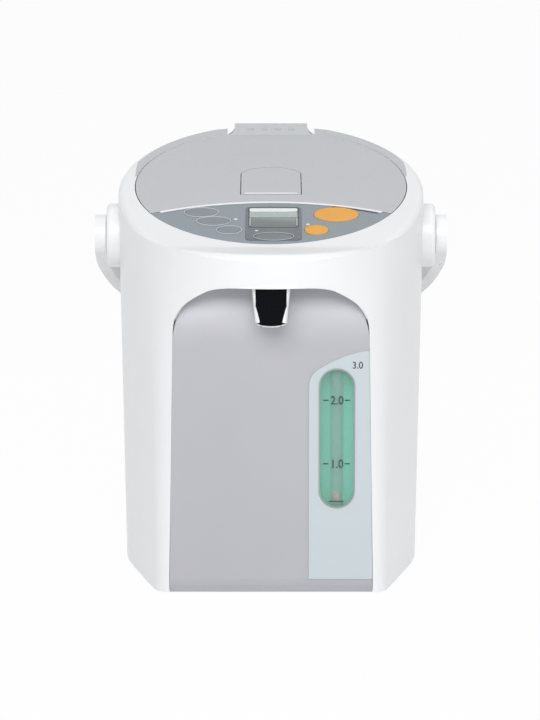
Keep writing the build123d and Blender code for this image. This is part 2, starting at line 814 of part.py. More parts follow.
vent_cover.part.label = "vent_cover"
export_step(vent_cover.part, "parts/vent_cover.step")

# ---- container, jacket and heater ----

nipple_y = -32
nipple_radius = 6
nipple_foot = 46.5
heater_radius = 45
heater_bore = 20
heater_thickness = 4.5


def container_profile(inset):
    """Half section of the container: round bottom corner, straight wall, domed shoulder, neck."""
    radius = container_radius + container_wall - inset
    floor = container_floor - container_wall + inset
    neck = mouth_radius + container_wall - inset
    top = well_floor - well_wall - 1
    corner = 14 - inset
    knee = corner * (1 - cos(radians(45)))
    with BuildSketch(Plane.XZ.offset(-container_y)) as section:
        with BuildLine():
            Line((0, floor), (radius - corner, floor))
            ThreePointArc((radius - corner, floor), (radius - knee, floor + knee), (radius, floor + corner))
            Line((radius, floor + corner), (radius, container_shoulder))
            Spline((radius, container_shoulder), (neck + 14, container_shoulder + 24),
                   (neck, top - 6), tangents=((0, 1), (0, 1)))
            Line((neck, top - 6), (neck, top))
            Line((neck, top), (0, top))
            Line((0, top), (0, floor))
        make_face()
    return section.sketch


container_axis = Axis((0, container_y, 0), (0, 0, 1))

with BuildPart() as water_container:
    revolve(container_profile(0), axis=container_axis)
    with Locations((0, container_y, well_floor - well_wall - 1.5)):
        Cylinder(mouth_radius + 6, 1)
    with Locations((0, nipple_y, (nipple_foot + container_floor) / 2)):
        Cylinder(nipple_radius, container_floor - nipple_foot)
    revolve(container_profile(container_wall), axis=container_axis, mode=Mode.SUBTRACT)
    with Locations((0, container_y, well_floor - well_wall)):
        Cylinder(mouth_radius, 12, mode=Mode.SUBTRACT)
    with Locations((0, nipple_y, (nipple_foot + container_floor) / 2)):
        Cylinder(nipple_radius - 1.2, container_floor - nipple_foot + 4, mode=Mode.SUBTRACT)

water_container.part.label = "water_container"
export_step(water_container.part, "parts/water_container.step")

with BuildPart() as mouth_seal:
    with Locations((0, container_y, well_floor - well_wall - 0.5)):
        Cylinder(mouth_radius + 5.5, 1)
        Cylinder(mouth_radius + 1, 1, mode=Mode.SUBTRACT)

mouth_seal.part.label = "mouth_seal"
export_step(mouth_seal.part, "parts/mouth_seal.step")

jacket_bore = container_radius + container_wall + seat

with BuildPart() as vacuum_jacket:
    with Locations((0, container_y, (container_floor + 14 + container_shoulder) / 2)):
        Cylinder(jacket_bore + jacket_thickness, container_shoulder - container_floor - 14)
        Cylinder(jacket_bore, container_shoulder - container_floor - 14, mode=Mode.SUBTRACT)

vacuum_jacket.part.label = "vacuum_jacket"
export_step(vacuum_jacket.part, "parts/vacuum_jacket.step")

with BuildPart() as heater:
    with Locations((0, container_y, container_floor - container_wall - heater_thickness / 2)):
        Cylinder(heater_radius, heater_thickness)
        Cylinder(heater_bore, heater_thickness, mode=Mode.SUBTRACT)

heater.part.label = "heater"
export_step(heater.part, "parts/heater.step")

with BuildPart() as temperature_sensor:
    with Locations((0, container_y, container_floor - container_wall - 4)):
        Cylinder(8, 8)
    with Locations((0, container_y, container_floor - container_wall - 1)):
        Cylinder(12, 2)

temperature_sensor.part.label = "temperature_sensor"
export_step(temperature_sensor.part, "parts/temperature_sensor.step")

# ---- pump ----

pump_low = 26
pump_high = 44
pump_radius = 21
pump_cavity = 17
pump_outlet_y = nipple_y - 14
pump_outlet_z = 35
hose_outer = 5.5
hose_bore = stub_radius + running
impeller_radius = 15
impeller_low = 28.3
spindle_radius = 1.5
magnet_radius = 14
motor_radius = 16
motor_low = base_floor + base_plate
motor_high = 22

with BuildPart() as pump_housing:
    with Locations((0, nipple_y, (pump_low + pump_high) / 2)):
        Cylinder(pump_radius, pump_high - pump_low)
    with Locations((0, nipple_y, pump_high + 2)):
        Cylinder(nipple_radius + 2.5, 6)
    with Locations(Location((pump_radius, pump_outlet_y, pump_outlet_z), (0, 90, 0))):
        Cylinder(stub_radius, 22)
    with Locations((0, nipple_y)):
        with PolarLocations(pump_radius + 2, 3, start_angle=30):
            with Locations((0, 0, (motor_low + 32) / 2)):
                Cylinder(3.5, 32 - motor_low)
    with Locations((0, nipple_y, (pump_low + pump_high) / 2 - 0.5)):
        Cylinder(pump_cavity, pump_high - pump_low - 5, mode=Mode.SUBTRACT)
    with Locations((0, nipple_y, pump_high)):
        Cylinder(nipple_radius + running, 20, mode=Mode.SUBTRACT)
    with Locations(Location((pump_radius, pump_outlet_y, pump_outlet_z), (0, 90, 0))):
        Cylinder(nozzle_bore, 30, mode=Mode.SUBTRACT)
    with Locations((0, nipple_y, impeller_low + 3)):
        Cylinder(spindle_radius, 8)

pump_housing.part.label = "pump_housing"
export_step(pump_housing.part, "parts/pump_housing.step")

with BuildPart() as impeller:
    with Locations((0, nipple_y, impeller_low + 1)):
        Cylinder(impeller_radius, 2)
    with Locations((0, nipple_y, impeller_low + 3)):
        Cylinder(4, 6)
    with Locations((0, nipple_y, impeller_low + 4)):
        with PolarLocations(9, 6):
            Box(9, 1.2, 5)
    with Locations((0, nipple_y, impeller_low + 3)):
        Cylinder(spindle_radius + running, 20, mode=Mode.SUBTRACT)

impeller.part.label = "impeller"
export_step(impeller.part, "parts/impeller.step")

with BuildPart() as drive_magnet:
    with Locations((0, nipple_y, pump_low - 2)):
        Cylinder(magnet_radius, 3)
    with Locations((0, nipple_y, (motor_high - 6 + pump_low - 1) / 2)):
        Cylinder(1.5, pump_low - 1 - motor_high + 6)

drive_magnet.part.label = "drive_magnet"
export_step(drive_magnet.part, "parts/drive_magnet.step")

with BuildPart() as pump_motor:
    with Locations((0, nipple_y, (motor_low + motor_high) / 2)):
        Cylinder(motor_radius, motor_high - motor_low)
    fillet(pump_motor.edges().group_by(Axis.Z)[-1], 1.5)
    with Locations((0, nipple_y, motor_high)):
        Cylinder(1.5 + running, 13, mode=Mode.SUBTRACT)

pump_motor.part.label = "pump_motor"
export_step(pump_motor.part, "parts/pump_motor.step")

with BuildPart() as pump_hose:
    with BuildLine() as pump_route:
        FilletPolyline((pump_radius + 3, pump_outlet_y, pump_outlet_z),
                       (gauge_x, pump_outlet_y, pump_outlet_z),
                       (gauge_x, -tube_y, pump_outlet_z),
                       (gauge_x, -tube_y, tube_low + 8), radius=10)
    with BuildSketch(Plane(origin=pump_route.line @ 0, z_dir=pump_route.line % 0)):
        Circle(hose_outer)
        Circle(hose_bore, mode=Mode.SUBTRACT)
    sweep()

pump_hose.part.label = "pump_hose"
export_step(pump_hose.part, "parts/pump_hose.step")

hose_back_y = -96

with BuildPart() as delivery_hose:
    with BuildLine() as delivery_route:
        FilletPolyline((gauge_x, -tube_y, tube_high - 8),
                       (gauge_x, -tube_y, tube_high + 8),
                       (gauge_x, hose_back_y, tube_high + 26),
                       (gauge_x, hose_back_y, stub_z),
                       (0, hose_back_y, stub_z),
                       (0, -nozzle_y + 12, stub_z), radius=[8, 8, 9, 9])
    with BuildSketch(Plane(origin=delivery_route.line @ 0, z_dir=delivery_route.line % 0)):
        Circle(hose_outer)
        Circle(hose_bore, mode=Mode.SUBTRACT)
    sweep()

delivery_hose.part.label = "delivery_hose"
export_step(delivery_hose.part, "parts/delivery_hose.step")

# ---- base, turntable and inlet ----

turn_y = 8
turn_radius = 84
turn_low = 1.2
turn_high = 5.4
hub_radius = 10
board_x = -46
board_y = 52
board_z = 13

hub_low = 2.7

with BuildPart() as base_cover:
    extrude(foot_outline(wall + seat, base_floor), amount=base_plate)
    extrude(arch_outline(arch_liner + seat, liner_back - seat), amount=40, mode=Mode.SUBTRACT)
    with Locations((0, turn_y, (hub_low + base_floor + 1) / 2)):
        Cylinder(hub_radius, base_floor + 1 - hub_low)
    with Locations(*[(side * x, y, base_floor + base_plate / 2) for x, y in screw_spots for side in (-1, 1)]):
        Cylinder(screw_radius + seat, base_plate + 2, mode=Mode.SUBTRACT)
    with Locations((0, turn_y, 4)):
        Cylinder(1.4, 14, mode=Mode.SUBTRACT)
    with Locations((board_x, board_y, (base_floor + base_plate + board_z) / 2)):
        with GridLocations(44, 40, 2, 2):
            Cylinder(3, board_z - base_floor - base_plate)

base_cover.part.label = "base_cover"
export_step(base_cover.part, "parts/base_cover.step")

with BuildPart() as base_screws:
    with Locations(*[(side * x, y) for x, y in screw_spots for side in (-1, 1)]):
        with Locations((0, 0, base_floor - 0.8)):
            Cylinder(3.2, 1.6)
        with Locations((0, 0, base_floor + 5)):
            Cylinder(screw_radius, 12)
        with Locations((0, 0, base_floor - 1.6)):
            Box(4, 0.9, 1.2, mode=Mode.SUBTRACT)
            Box(0.9, 4, 1.2, mode=Mode.SUBTRACT)

base_screws.part.label = "base_screws"
export_step(base_screws.part, "parts/base_screws.step")

with BuildPart() as turntable:
    with Locations((0, turn_y, (turn_low + turn_high) / 2)):
        Cylinder(turn_radius, turn_high - turn_low)
    with Locations((0, turn_y, turn_low)):
        Cylinder(turn_radius - 3, 3.4, mode=Mode.SUBTRACT)
        Cylinder(16, 3.4)
        with PolarLocations((turn_radius + 14) / 2, 8):
            Box(turn_radius - 16, 2, 3.4)
    split(bisect_by=Plane.XY.offset(turn_low), keep=Keep.TOP)
    with Locations((0, turn_y, turn_high + 0.2)):
        Cylinder(turn_radius - 4, 0.6)
        Cylinder(turn_radius - 8, 0.6, mode=Mode.SUBTRACT)
    with Locations((0, turn_y, turn_low)):
        Cylinder(hub_radius + running, 20, mode=Mode.SUBTRACT)
        Cylinder(13.5, 3.8, mode=Mode.SUBTRACT)

turntable.part.label = "turntable"
export_step(turntable.part, "parts/turntable.step")

with BuildPart() as turntable_screw:
    with Locations((0, turn_y, hub_low - 0.7)):
        Cylinder(13, 1.4)
    with Locations((0, turn_y, hub_low + 3)):
        Cylinder(1.38, 7)
    with Locations((0, turn_y, hub_low - 1.4)):
        Box(8, 1.4, 1.2, mode=Mode.SUBTRACT)
        Box(1.4, 8, 1.2, mode=Mode.SUBTRACT)

turntable_screw.part.label = "turntable_screw"
export_step(turntable_screw.part, "parts/turntable_screw.step")

with BuildPart() as rubber_mat:
    with Locations((0, turn_y, turn_low / 2)):
        Cylinder(turn_radius - 2, turn_low)
    with Locations((0, turn_y, 0)):
        Cylinder(turn_radius - 16, 1.0, mode=Mode.SUBTRACT)
        Cylinder(26, 1.0)
    split(bisect_by=Plane.XY, keep=Keep.TOP)

rubber_mat.part.label = "rubber_mat"
export_step(rubber_mat.part, "parts/rubber_mat.step")

with BuildPart() as power_inlet:
    with Locations((0, foot_back - inlet_depth / 2 + 4, inlet_z)):
        Box(inlet_width, inlet_depth + 8, inlet_height)
    fillet(power_inlet.edges().filter_by(Axis.Y), 3)
    add(casing_block.part, mode=Mode.INTERSECT)
    with Locations((0, foot_back, inlet_z)):
        Box(inlet_width - 8, 2 * (inlet_depth - 5), inlet_height - 8, mode=Mode.SUBTRACT)

power_inlet.part.label = "power_inlet"
export_step(power_inlet.part, "parts/power_inlet.step")

with BuildPart() as inlet_pins:
    with Locations(Location((-8, foot_back - inlet_depth + 8, inlet_z), (90, 0, 0)),
                   Location((8, foot_back - inlet_depth + 8, inlet_z), (90, 0, 0))):
        Cylinder(2, 6)

inlet_pins.part.label = "inlet_pins"
export_step(inlet_pins.part, "parts/inlet_pins.step")

with BuildPart() as power_board:
    with Locations((board_x, board_y, board_z + 0.8)):
        Box(56, 50, 1.6)
    with Locations((board_x + 12, board_y + 8, board_z + 1.6 + 9)):
        Box(26, 24, 18)
    with Locations((board_x - 14, board_y - 8, board_z + 1.6 + 6)):
        Cylinder(7, 12)

power_board.part.label = "power_board"
export_step(power_board.part, "parts/power_board.step")

# ---- handle ----

drop = radians(handle_drop)
handle_plane = Plane(origin=(0, pivot_y, pivot_z), x_dir=(1, 0, 0), z_dir=(0, sin(drop), cos(drop)))
side_plane = Plane(origin=(0, pivot_y, pivot_z), x_dir=(0, cos(drop), -sin(drop)), z_dir=(1, 0, 0))
bow_start = 20
arm_end = 14.5
arm_neck = 46

with BuildPart() as handle:
    with BuildSketch(handle_plane):
        with BuildLine():
            Polyline((-arm_face, bow_start), (-arm_face, -arm_end - 5), (-arm_inner, -arm_end - 5),
                     (-arm_inner, bow_start))
            EllipticalCenterArc((0, bow_start), arm_inner, handle_length - grip_depth - bow_start,
                                180, arc_size=-180)
            Polyline((arm_inner, bow_start), (arm_inner, -arm_end - 5), (arm_face, -arm_end - 5),
                     (arm_face, bow_start))
            EllipticalCenterArc((0, bow_start), arm_face, handle_length - bow_start, 0, arc_size=180)
        make_face()
    extrude(amount=30, both=True)
    with BuildSketch(side_plane):
        Circle(arm_end)
        with BuildLine():
            Polyline((0, arm_end), (arm_neck, handle_width / 2), (handle_length + 10, handle_width / 2),
                     (handle_length + 10, -handle_width / 2), (arm_neck, -handle_width / 2),
                     (0, -arm_end), close=True)
        make_face()
    extrude(amount=arm_face + 10, both=True, mode=Mode.INTERSECT)
    for side in (-1, 1):
        with Locations(Location((side * (arm_inner + 2), pivot_y, pivot_z), (0, 90, 0))):
            Cylinder(pivot_pin_radius + running, 5, mode=Mode.SUBTRACT)

handle.part.label = "handle"
export_step(handle.part, "parts/handle.step")

for name, side in (("handle_boss_left", -1), ("handle_boss_right", 1)):
    with BuildPart() as boss:
        with Locations(Location((side * (boss_face - 10), pivot_y, pivot_z), (0, side * 90, 0))):
            Cylinder(boss_radius, 20)
        fillet(boss.edges().group_by(Axis.X)[-1 if side > 0 else 0], 3)
        add(casing_block.part, mode=Mode.SUBTRACT)
        with Locations(Location((side * boss_face, pivot_y, pivot_z), (0, 90, 0))):
            Cylinder(pivot_pin_radius + 0.02, 60, mode=Mode.SUBTRACT)
    boss.part.label = name
    export_step(boss.part, f"parts/{name}.step")

pin_end = arm_inner + 3.6
pin_root = 101.2

with BuildPart() as pivot_pins:
    for side in (-1, 1):
        with Locations(Location((side * (pin_end + pin_root) / 2, pivot_y, pivot_z), (0, 90, 0))):
            Cylinder(pivot_pin_radius, pin_end - pin_root)
        with Locations(Location((side * (pin_root + 1.2), pivot_y, pivot_z), (0, 90, 0))):
            Cylinder(pivot_pin_radius + 4, 2.4)

pivot_pins.part.label = "pivot_pins"
export_step(pivot_pins.part, "parts/pivot_pins.step")
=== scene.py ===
import math

import bmesh
import bpy
from bpy.props import FloatProperty, FloatVectorProperty, PointerProperty
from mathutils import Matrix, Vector


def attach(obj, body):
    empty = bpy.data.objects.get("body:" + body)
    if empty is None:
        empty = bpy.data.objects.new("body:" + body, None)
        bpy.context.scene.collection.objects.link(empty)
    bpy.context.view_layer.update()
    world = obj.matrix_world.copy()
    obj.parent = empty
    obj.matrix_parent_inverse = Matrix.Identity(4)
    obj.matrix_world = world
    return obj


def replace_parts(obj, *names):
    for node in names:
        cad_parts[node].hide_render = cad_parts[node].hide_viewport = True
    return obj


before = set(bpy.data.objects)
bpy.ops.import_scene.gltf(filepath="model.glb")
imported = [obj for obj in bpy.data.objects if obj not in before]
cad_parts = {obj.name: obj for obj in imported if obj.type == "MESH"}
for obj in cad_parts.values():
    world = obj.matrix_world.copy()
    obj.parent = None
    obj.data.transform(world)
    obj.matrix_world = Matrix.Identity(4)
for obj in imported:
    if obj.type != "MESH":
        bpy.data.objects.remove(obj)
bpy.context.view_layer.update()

bl_info = {
    "name": "Thermo pot",
    "version": (1, 0, 0),
    "blender": (4, 5, 0),
    "location": "View3D > Sidebar > Thermo pot",
    "description": "Finishes, modelled pieces and studio for an electric thermo pot",
    "category": "Object",
}

# Places and sizes that more than one piece uses, in metres.
GAUGE_MIDDLE = 0.1079
SLOT_WIDTH = 0.0246
SLOT_LENGTH = 0.0961

# Distances that count as the same place.
NEAR = 0.0001
DOUBLED = 0.000005


def tint(red, green, blue):
    """A screen colour, 0 to 255, as the linear colour that a shader takes."""
    linear = []
    for level in (red, green, blue):
        share = level / 255
        linear.append(share / 12.92 if share <= 0.04045 else ((share + 0.055) / 1.055) ** 2.4)
    return (*linear, 1.0)


def colour_property(label, red, green, blue):
    """A colour that the sidebar shows."""
    return FloatVectorProperty(
        name=label, description=f"{label} of the pot", subtype="COLOR", size=4, min=0.0, max=1.0,
        default=tint(red, green, blue))


class PotColours(bpy.types.PropertyGroup):
    casing: colour_property("Casing white", 238, 239, 240)
    lid: colour_property("Lid grey", 190, 192, 195)
    slate: colour_property("Control panel slate", 136, 144, 151)
    orange: colour_property("Dispense orange", 232, 164, 52)
    key: colour_property("Key grey", 128, 134, 143)
    silver: colour_property("Front panel silver", 181, 181, 186)
    film: colour_property("Gauge film", 196, 204, 208)
    water_green: colour_property("Gauge green", 112, 212, 186)
    dark: colour_property("Spout black", 7, 10, 14)
    print_ink: colour_property("Printed marks", 52, 62, 66)
    float_red: colour_property("Float red", 226, 34, 34)


def length_property(label, about, metres):
    """A length that the sidebar shows."""
    return FloatProperty(name=label, description=about, unit="LENGTH", default=metres, min=0.0, precision=5)


class PotSizes(bpy.types.PropertyGroup):
    lid_height: length_property("Lid height", "Where the lid's plane crosses the pot's axis", 0.264)
    lid_tilt: FloatProperty(
        name="Lid tilt", description="How steeply the lid's plane climbs to the back", unit="ROTATION",
        default=math.radians(14.0))
    lid_split: length_property("Lid split", "From the axis forward to the arc between lid and panel", 0.0268)
    split_radius: length_property("Split radius", "Radius of the arc between lid and panel", 0.163)
    rib_width: length_property("Rib width", "Width of the white rib along that arc", 0.0024)
    rib_rise: length_property("Rib rise", "Height of the rib above the panel", 0.0007)
    gauge_x: length_property("Gauge place", "From the axis to the gauge's middle", 0.0444)
    film_front: length_property("Film front", "From the axis forward to the gauge film's face", 0.1169)
    glass_front: length_property("Window front", "From the axis forward to the gauge window's face", 0.1172)
    print_thickness: length_property("Print thickness", "Height of the printed marks", 0.00006)
    figure_height: length_property("Figure height", "Height of the gauge's figures", 0.0058)
    top_figure_height: length_property("Top figure height", "Height of the figure above the window", 0.0048)
    trim_rise: length_property("Trim rise", "Height of the grey trim behind the lid", 0.00035)
    key_rim: length_property("Key rim", "Width of the pale rim round a key", 0.0007)
    panel_front: length_property("Panel front", "From the axis forward to the silver panel's face", 0.116)
    panel_thickness: length_property("Panel thickness", "Thickness of the silver panel", 0.0025)
    panel_half: length_property("Panel half width", "Half of the silver panel's width at its foot", 0.069)
    panel_narrowing: length_property("Panel narrowing", "How much each side draws in up to the arch", 0.003)
    panel_top: length_property("Panel top", "Height of the arch over the silver panel", 0.2138)
    panel_gap: length_property("Panel gap", "Gap between the silver panel and the opening", 0.0003)
    arch_turn: length_property("Arch turn", "How far the arch's shoulders reach along top and sides", 0.046)
    lip_width: length_property("Lip width", "Width of the white lip that lines the opening", 0.0022)
    hood_foot: length_property("Hood foot", "Height where the silver panel leans back", 0.183)
    spout_front: length_property("Spout front", "From the axis forward to the spout's face", 0.143)
    spout_foot: length_property("Spout foot", "Height of the spout's lip", 0.1907)


class PotStage(bpy.types.PropertyGroup):
    key_power: FloatProperty(
        name="Key light", description="Power of the front softbox", unit="POWER",
        default=36.0, min=0.0)
    top_power: FloatProperty(
        name="Top light", description="Power of the overhead softbox", unit="POWER",
        default=3.2, min=0.0)
    room: FloatProperty(
        name="Room light", description="Strength of the even light from all round",
        default=0.45, min=0.0, max=2.0)
    camera_distance: FloatProperty(
        name="Camera distance", description="Distance of the camera in front of the pot's axis",
        unit="LENGTH", default=2.3101975, min=0.5)
    camera_height: FloatProperty(
        name="Camera height", description="Height of the camera above the table",
        unit="LENGTH", default=0.5296956, min=0.0)
    camera_pitch: FloatProperty(
        name="Camera pitch", description="How far the camera looks down", unit="ROTATION",
        default=math.radians(9.525841))


# ---- materials ----


class Finish:
    """A surface finish, built as nodes on object coordinates."""

    noise_range = (0.3, 0.7)
    bump_strength = 0.35

    def __init__(self, name, colour, roughness, metallic=0.0):
        self.material = bpy.data.materials.new(name)
        self.material.use_nodes = True
        self.tree = self.material.node_tree
        self.shader = self.tree.nodes["Principled BSDF"]
        self.shader.inputs["Roughness"].default_value = roughness
        self.shader.inputs["Metallic"].default_value = metallic
        self.shader.inputs["Base Color"].default_value = colour
        self.colour = colour
        self.roughness = roughness
        self.place = self.tree.nodes.new("ShaderNodeTexCoord").outputs["Object"]

    def node(self, kind, **settings):
        made = self.tree.nodes.new(kind)
        for key, value in settings.items():
            setattr(made, key, value)
        return made

    def link(self, start, end):
        self.tree.links.new(start, end)

    def noise(self, scale, detail=2.0, stretch=None):
        """Noise of that many waves a metre, stretched along an axis where asked."""
        texture = self.node("ShaderNodeTexNoise")
        texture.inputs["Scale"].default_value = scale
        texture.inputs["Detail"].default_value = detail
        if stretch is None:
            self.link(self.place, texture.inputs["Vector"])
        else:
            mapping = self.node("ShaderNodeMapping")
            mapping.inputs["Scale"].default_value = stretch
            self.link(self.place, mapping.inputs["Vector"])
            self.link(mapping.outputs["Vector"], texture.inputs["Vector"])
        return texture.outputs["Fac"]

    def ranged(self, value, low, high):
        """A value from 0 to 1 spread from low to high."""
        spread = self.node("ShaderNodeMapRange")
        spread.inputs["From Min"].default_value = self.noise_range[0]
        spread.inputs["From Max"].default_value = self.noise_range[1]
        spread.inputs["To Min"].default_value = low
        spread.inputs["To Max"].default_value = high
        self.link(value, spread.inputs["Value"])
        return spread.outputs["Result"]

    def blend(self, share, first, second):
        """Mixes two colours by a share."""
        mix = self.node("ShaderNodeMix", data_type="RGBA")
        share_socket, first_socket, second_socket = (mix.inputs[place] for place in (0, 6, 7))
        first_socket.default_value = first
        second_socket.default_value = second
        self.link(share, share_socket)
        return mix.outputs[2]

    def mottle(self, scale, depth):
        """Slow, faint change of tone, as moulded plastic has."""
        dark = tuple(channel * (1 - depth) for channel in self.colour[:3]) + (1.0,)
        pale = tuple(min(1.0, channel * (1 + depth)) for channel in self.colour[:3]) + (1.0,)
        tone = self.blend(self.ranged(self.noise(scale, detail=3.0), 0.0, 1.0), dark, pale)
        self.link(tone, self.shader.inputs["Base Color"])
        return self

    def uneven_gloss(self, scale, spread, stretch=None):
        """Roughness that wanders a little either side of its value."""
        waves = self.noise(scale, detail=4.0, stretch=stretch)
        gloss = self.ranged(waves, self.roughness - spread, self.roughness + spread)
        self.link(gloss, self.shader.inputs["Roughness"])
        return self

    def grain(self, scale, depth, stretch=None):
        """Fine surface grain as a bump, depth in metres."""
        bump = self.node("ShaderNodeBump")
        bump.inputs["Strength"].default_value = self.bump_strength
        bump.inputs["Distance"].default_value = depth
        self.link(self.noise(scale, stretch=stretch), bump.inputs["Height"])
        self.link(bump.outputs["Normal"], self.shader.inputs["Normal"])
        return self

    def set(self, **values):
        for key, value in values.items():
            self.shader.inputs[key.replace("_", " ")].default_value = value
        return self


def moulded(name, colour, roughness, mottle=0.015, grain=0.00003, grain_scale=1800.0):
    """Injection-moulded plastic: faint tone change, fine spark-eroded grain, uneven gloss."""
    finish = Finish(name, colour, roughness)
    finish.mottle(scale=22.0, depth=mottle).uneven_gloss(scale=260.0, spread=0.04)
    return finish.grain(scale=grain_scale, depth=grain)


def lacquered(name, colour, roughness):
    """Smooth bright plastic under a thin clear coat."""
    finish = Finish(name, colour, roughness)
    finish.mottle(scale=14.0, depth=0.01).uneven_gloss(scale=120.0, spread=0.03)
    finish.grain(scale=420.0, depth=0.00001)
    return finish.set(Coat_Weight=0.15, Coat_Roughness=0.2)


def rubber(name, colour, roughness=0.62):
    """Soft moulding with a dry, dusty gloss."""
    finish = Finish(name, colour, roughness)
    finish.mottle(scale=60.0, depth=0.04).uneven_gloss(scale=500.0, spread=0.06)
    finish.grain(scale=2600.0, depth=0.00004)
    return finish.set(Sheen_Weight=0.15, Sheen_Roughness=0.5)


def satin_metal(name, colour, roughness, metallic=0.9, stretch=(1.0, 1.0, 40.0)):
    """Drawn or rolled metal with fine lines along one way."""
    finish = Finish(name, colour, roughness, metallic)
    finish.mottle(scale=30.0, depth=0.02).uneven_gloss(scale=60.0, spread=0.05, stretch=stretch)
    return finish.grain(scale=90.0, depth=0.00001, stretch=stretch)


def clear(name, colour, roughness=0.06):
    """Clear moulding with faint waviness."""
    finish = Finish(name, colour, roughness)
    finish.uneven_gloss(scale=90.0, spread=0.02).grain(scale=60.0, depth=0.00002)
    return finish.set(IOR=1.45, Alpha=0.12)


def dress(finish, *names):
    """Gives CAD nodes a finish."""
    for name in names:
        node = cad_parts[name]
        if not node.material_slots:
            node.data.materials.append(finish.material)
        for slot in node.material_slots:
            slot.link = "OBJECT"
            slot.material = finish.material


# ---- modelling helpers ----


def start_clean():
    """Back to object mode with nothing selected."""
    if bpy.context.object and bpy.context.object.mode != "OBJECT":
        leave_edit()
    bpy.ops.object.select_all(action="DESELECT")


def settle(name, finish, body):
    """Names the active object, puts its place into its mesh, and lets it ride on a body."""
    piece = bpy.context.object
    piece.name = name
    piece.data.name = name
    bpy.ops.object.transform_apply(location=True, rotation=True, scale=True)
    piece.data.materials.clear()
    piece.data.materials.append(finish.material)
    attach(piece, body)
    return piece


def stand_on_lid(piece, sizes, x, y, lift):
    """Turns a flat piece onto the lid's plane, x and y measured on it and lift above it."""
    lean = sizes.lid_tilt
    piece.rotation_euler = (lean, 0.0, 0.0)
    piece.location = (x, y * math.cos(lean) - lift * math.sin(lean),
                      sizes.lid_height + y * math.sin(lean) + lift * math.cos(lean))


def stand_on_front(piece, x, front, z):
    """Turns a flat piece to face the front, its back on a face that far forward."""
    piece.rotation_euler = (math.pi / 2, 0.0, 0.0)
    piece.location = (x, -front, z)


def edit_all():
    """Into edit mode, with everything selected."""
    bpy.ops.object.mode_set(mode="EDIT")
    bpy.ops.mesh.select_all(action="SELECT")


def leave_edit():
    """Back to object mode."""
    bpy.ops.object.mode_set(mode="OBJECT")


def use_modifier(kind, **settings):
    """Adds a modifier to the active object and applies it."""
    piece = bpy.context.object
    modifier = piece.modifiers.new(kind.title(), kind)
    for key, value in settings.items():
        setattr(modifier, key, value)
    bpy.ops.object.modifier_apply(modifier=modifier.name)


def ease_edges(width, segments, crease):
    """Rounds every edge sharper than that many degrees."""
    use_modifier("BEVEL", width=width, segments=segments, limit_method="ANGLE",
                 angle_limit=math.radians(crease))


def shade_smooth(crease):
    """Shades smoothly across every edge flatter than that many degrees."""
    bpy.ops.object.shade_smooth_by_angle(angle=math.radians(crease))


def thicken(thickness, soften=0.0, segments=2):
    """Gives a flat sheet its thickness upwards, and eases its edges."""
    use_modifier("SOLIDIFY", thickness=thickness, offset=1.0)
    if soften > 0.0:
        ease_edges(soften, segments, crease=40.0)
    shade_smooth(crease=35.0)


def tidy_shell(closer=DOUBLED):
    """Merges points closer than that and turns every face outwards."""
    edit_all()
    bpy.ops.mesh.remove_doubles(threshold=closer)
    bpy.ops.mesh.normals_make_consistent(inside=False)
    leave_edit()


def hollow(width):
    """Cuts the middle out of a flat sheet, leaving a rim of even width."""
    edit_all()
    bpy.ops.mesh.inset(thickness=width)
    bpy.ops.mesh.delete(type="FACE")
    leave_edit()


def oval_sheet(half_width, half_length, points=72):
    """Flat oval at the origin."""
    start_clean()
    bpy.ops.mesh.primitive_circle_add(vertices=points, radius=1.0, fill_type="NGON")
    edit_all()
    bpy.ops.transform.resize(value=(half_width, half_length, 1.0))
    leave_edit()
    return bpy.context.object


def egg_sheet(half_width, front, back, widest, points=180):
    """Flat egg at the origin, two half ellipses that meet at its widest place."""
    egg = oval_sheet(half_width, 1.0, points)
    bpy.ops.object.mode_set(mode="EDIT")
    for side, length in ((-1, front + widest), (1, back - widest)):
        select_points(lambda point: point.y * side > DOUBLED)
        bpy.ops.transform.resize(value=(1.0, length, 1.0), center_override=(0.0, 0.0, 0.0))
    bpy.ops.mesh.select_all(action="SELECT")
    bpy.ops.transform.translate(value=(0.0, widest, 0.0))
    leave_edit()
    return egg


def rounded_sheet(width, length, corner, segments=8, fullness=0.5):
    """Flat rectangle at the origin with round corners."""
    start_clean()
    bpy.ops.mesh.primitive_plane_add(size=1.0)
    edit_all()
    bpy.ops.transform.resize(value=(width, length, 1.0))
    bpy.ops.mesh.bevel(offset=corner, segments=segments, profile=fullness, affect="VERTICES")
    leave_edit()
    return bpy.context.object


def arc_strip(radius, width, height, sweep, steps):
    """Bar bent round the origin, its middle towards +Y, radius to its outer edge."""
    start_clean()
    bpy.ops.mesh.primitive_plane_add(size=1.0)
    edit_all()
    bpy.ops.transform.resize(value=(width, height, 1.0))
    leave_edit()
    bar = bpy.context.object
    bar.rotation_euler = (math.pi / 2, 0.0, 0.0)
    bar.location = (radius - width / 2, 0.0, height / 2)
    bpy.ops.object.transform_apply(location=True, rotation=True, scale=True)
    edit_all()
    bpy.ops.mesh.spin(steps=steps, angle=sweep, center=(0.0, 0.0, 0.0), axis=(0.0, 0.0, 1.0))
    leave_edit()
    spread = [math.atan2(point.co.y, point.co.x) for point in bar.data.vertices]
    middle = (min(spread) + max(spread)) / 2
    bar.rotation_euler = (0.0, 0.0, math.pi / 2 - middle)
    bpy.ops.object.transform_apply(location=True, rotation=True, scale=True)
    tidy_shell()
    return bar


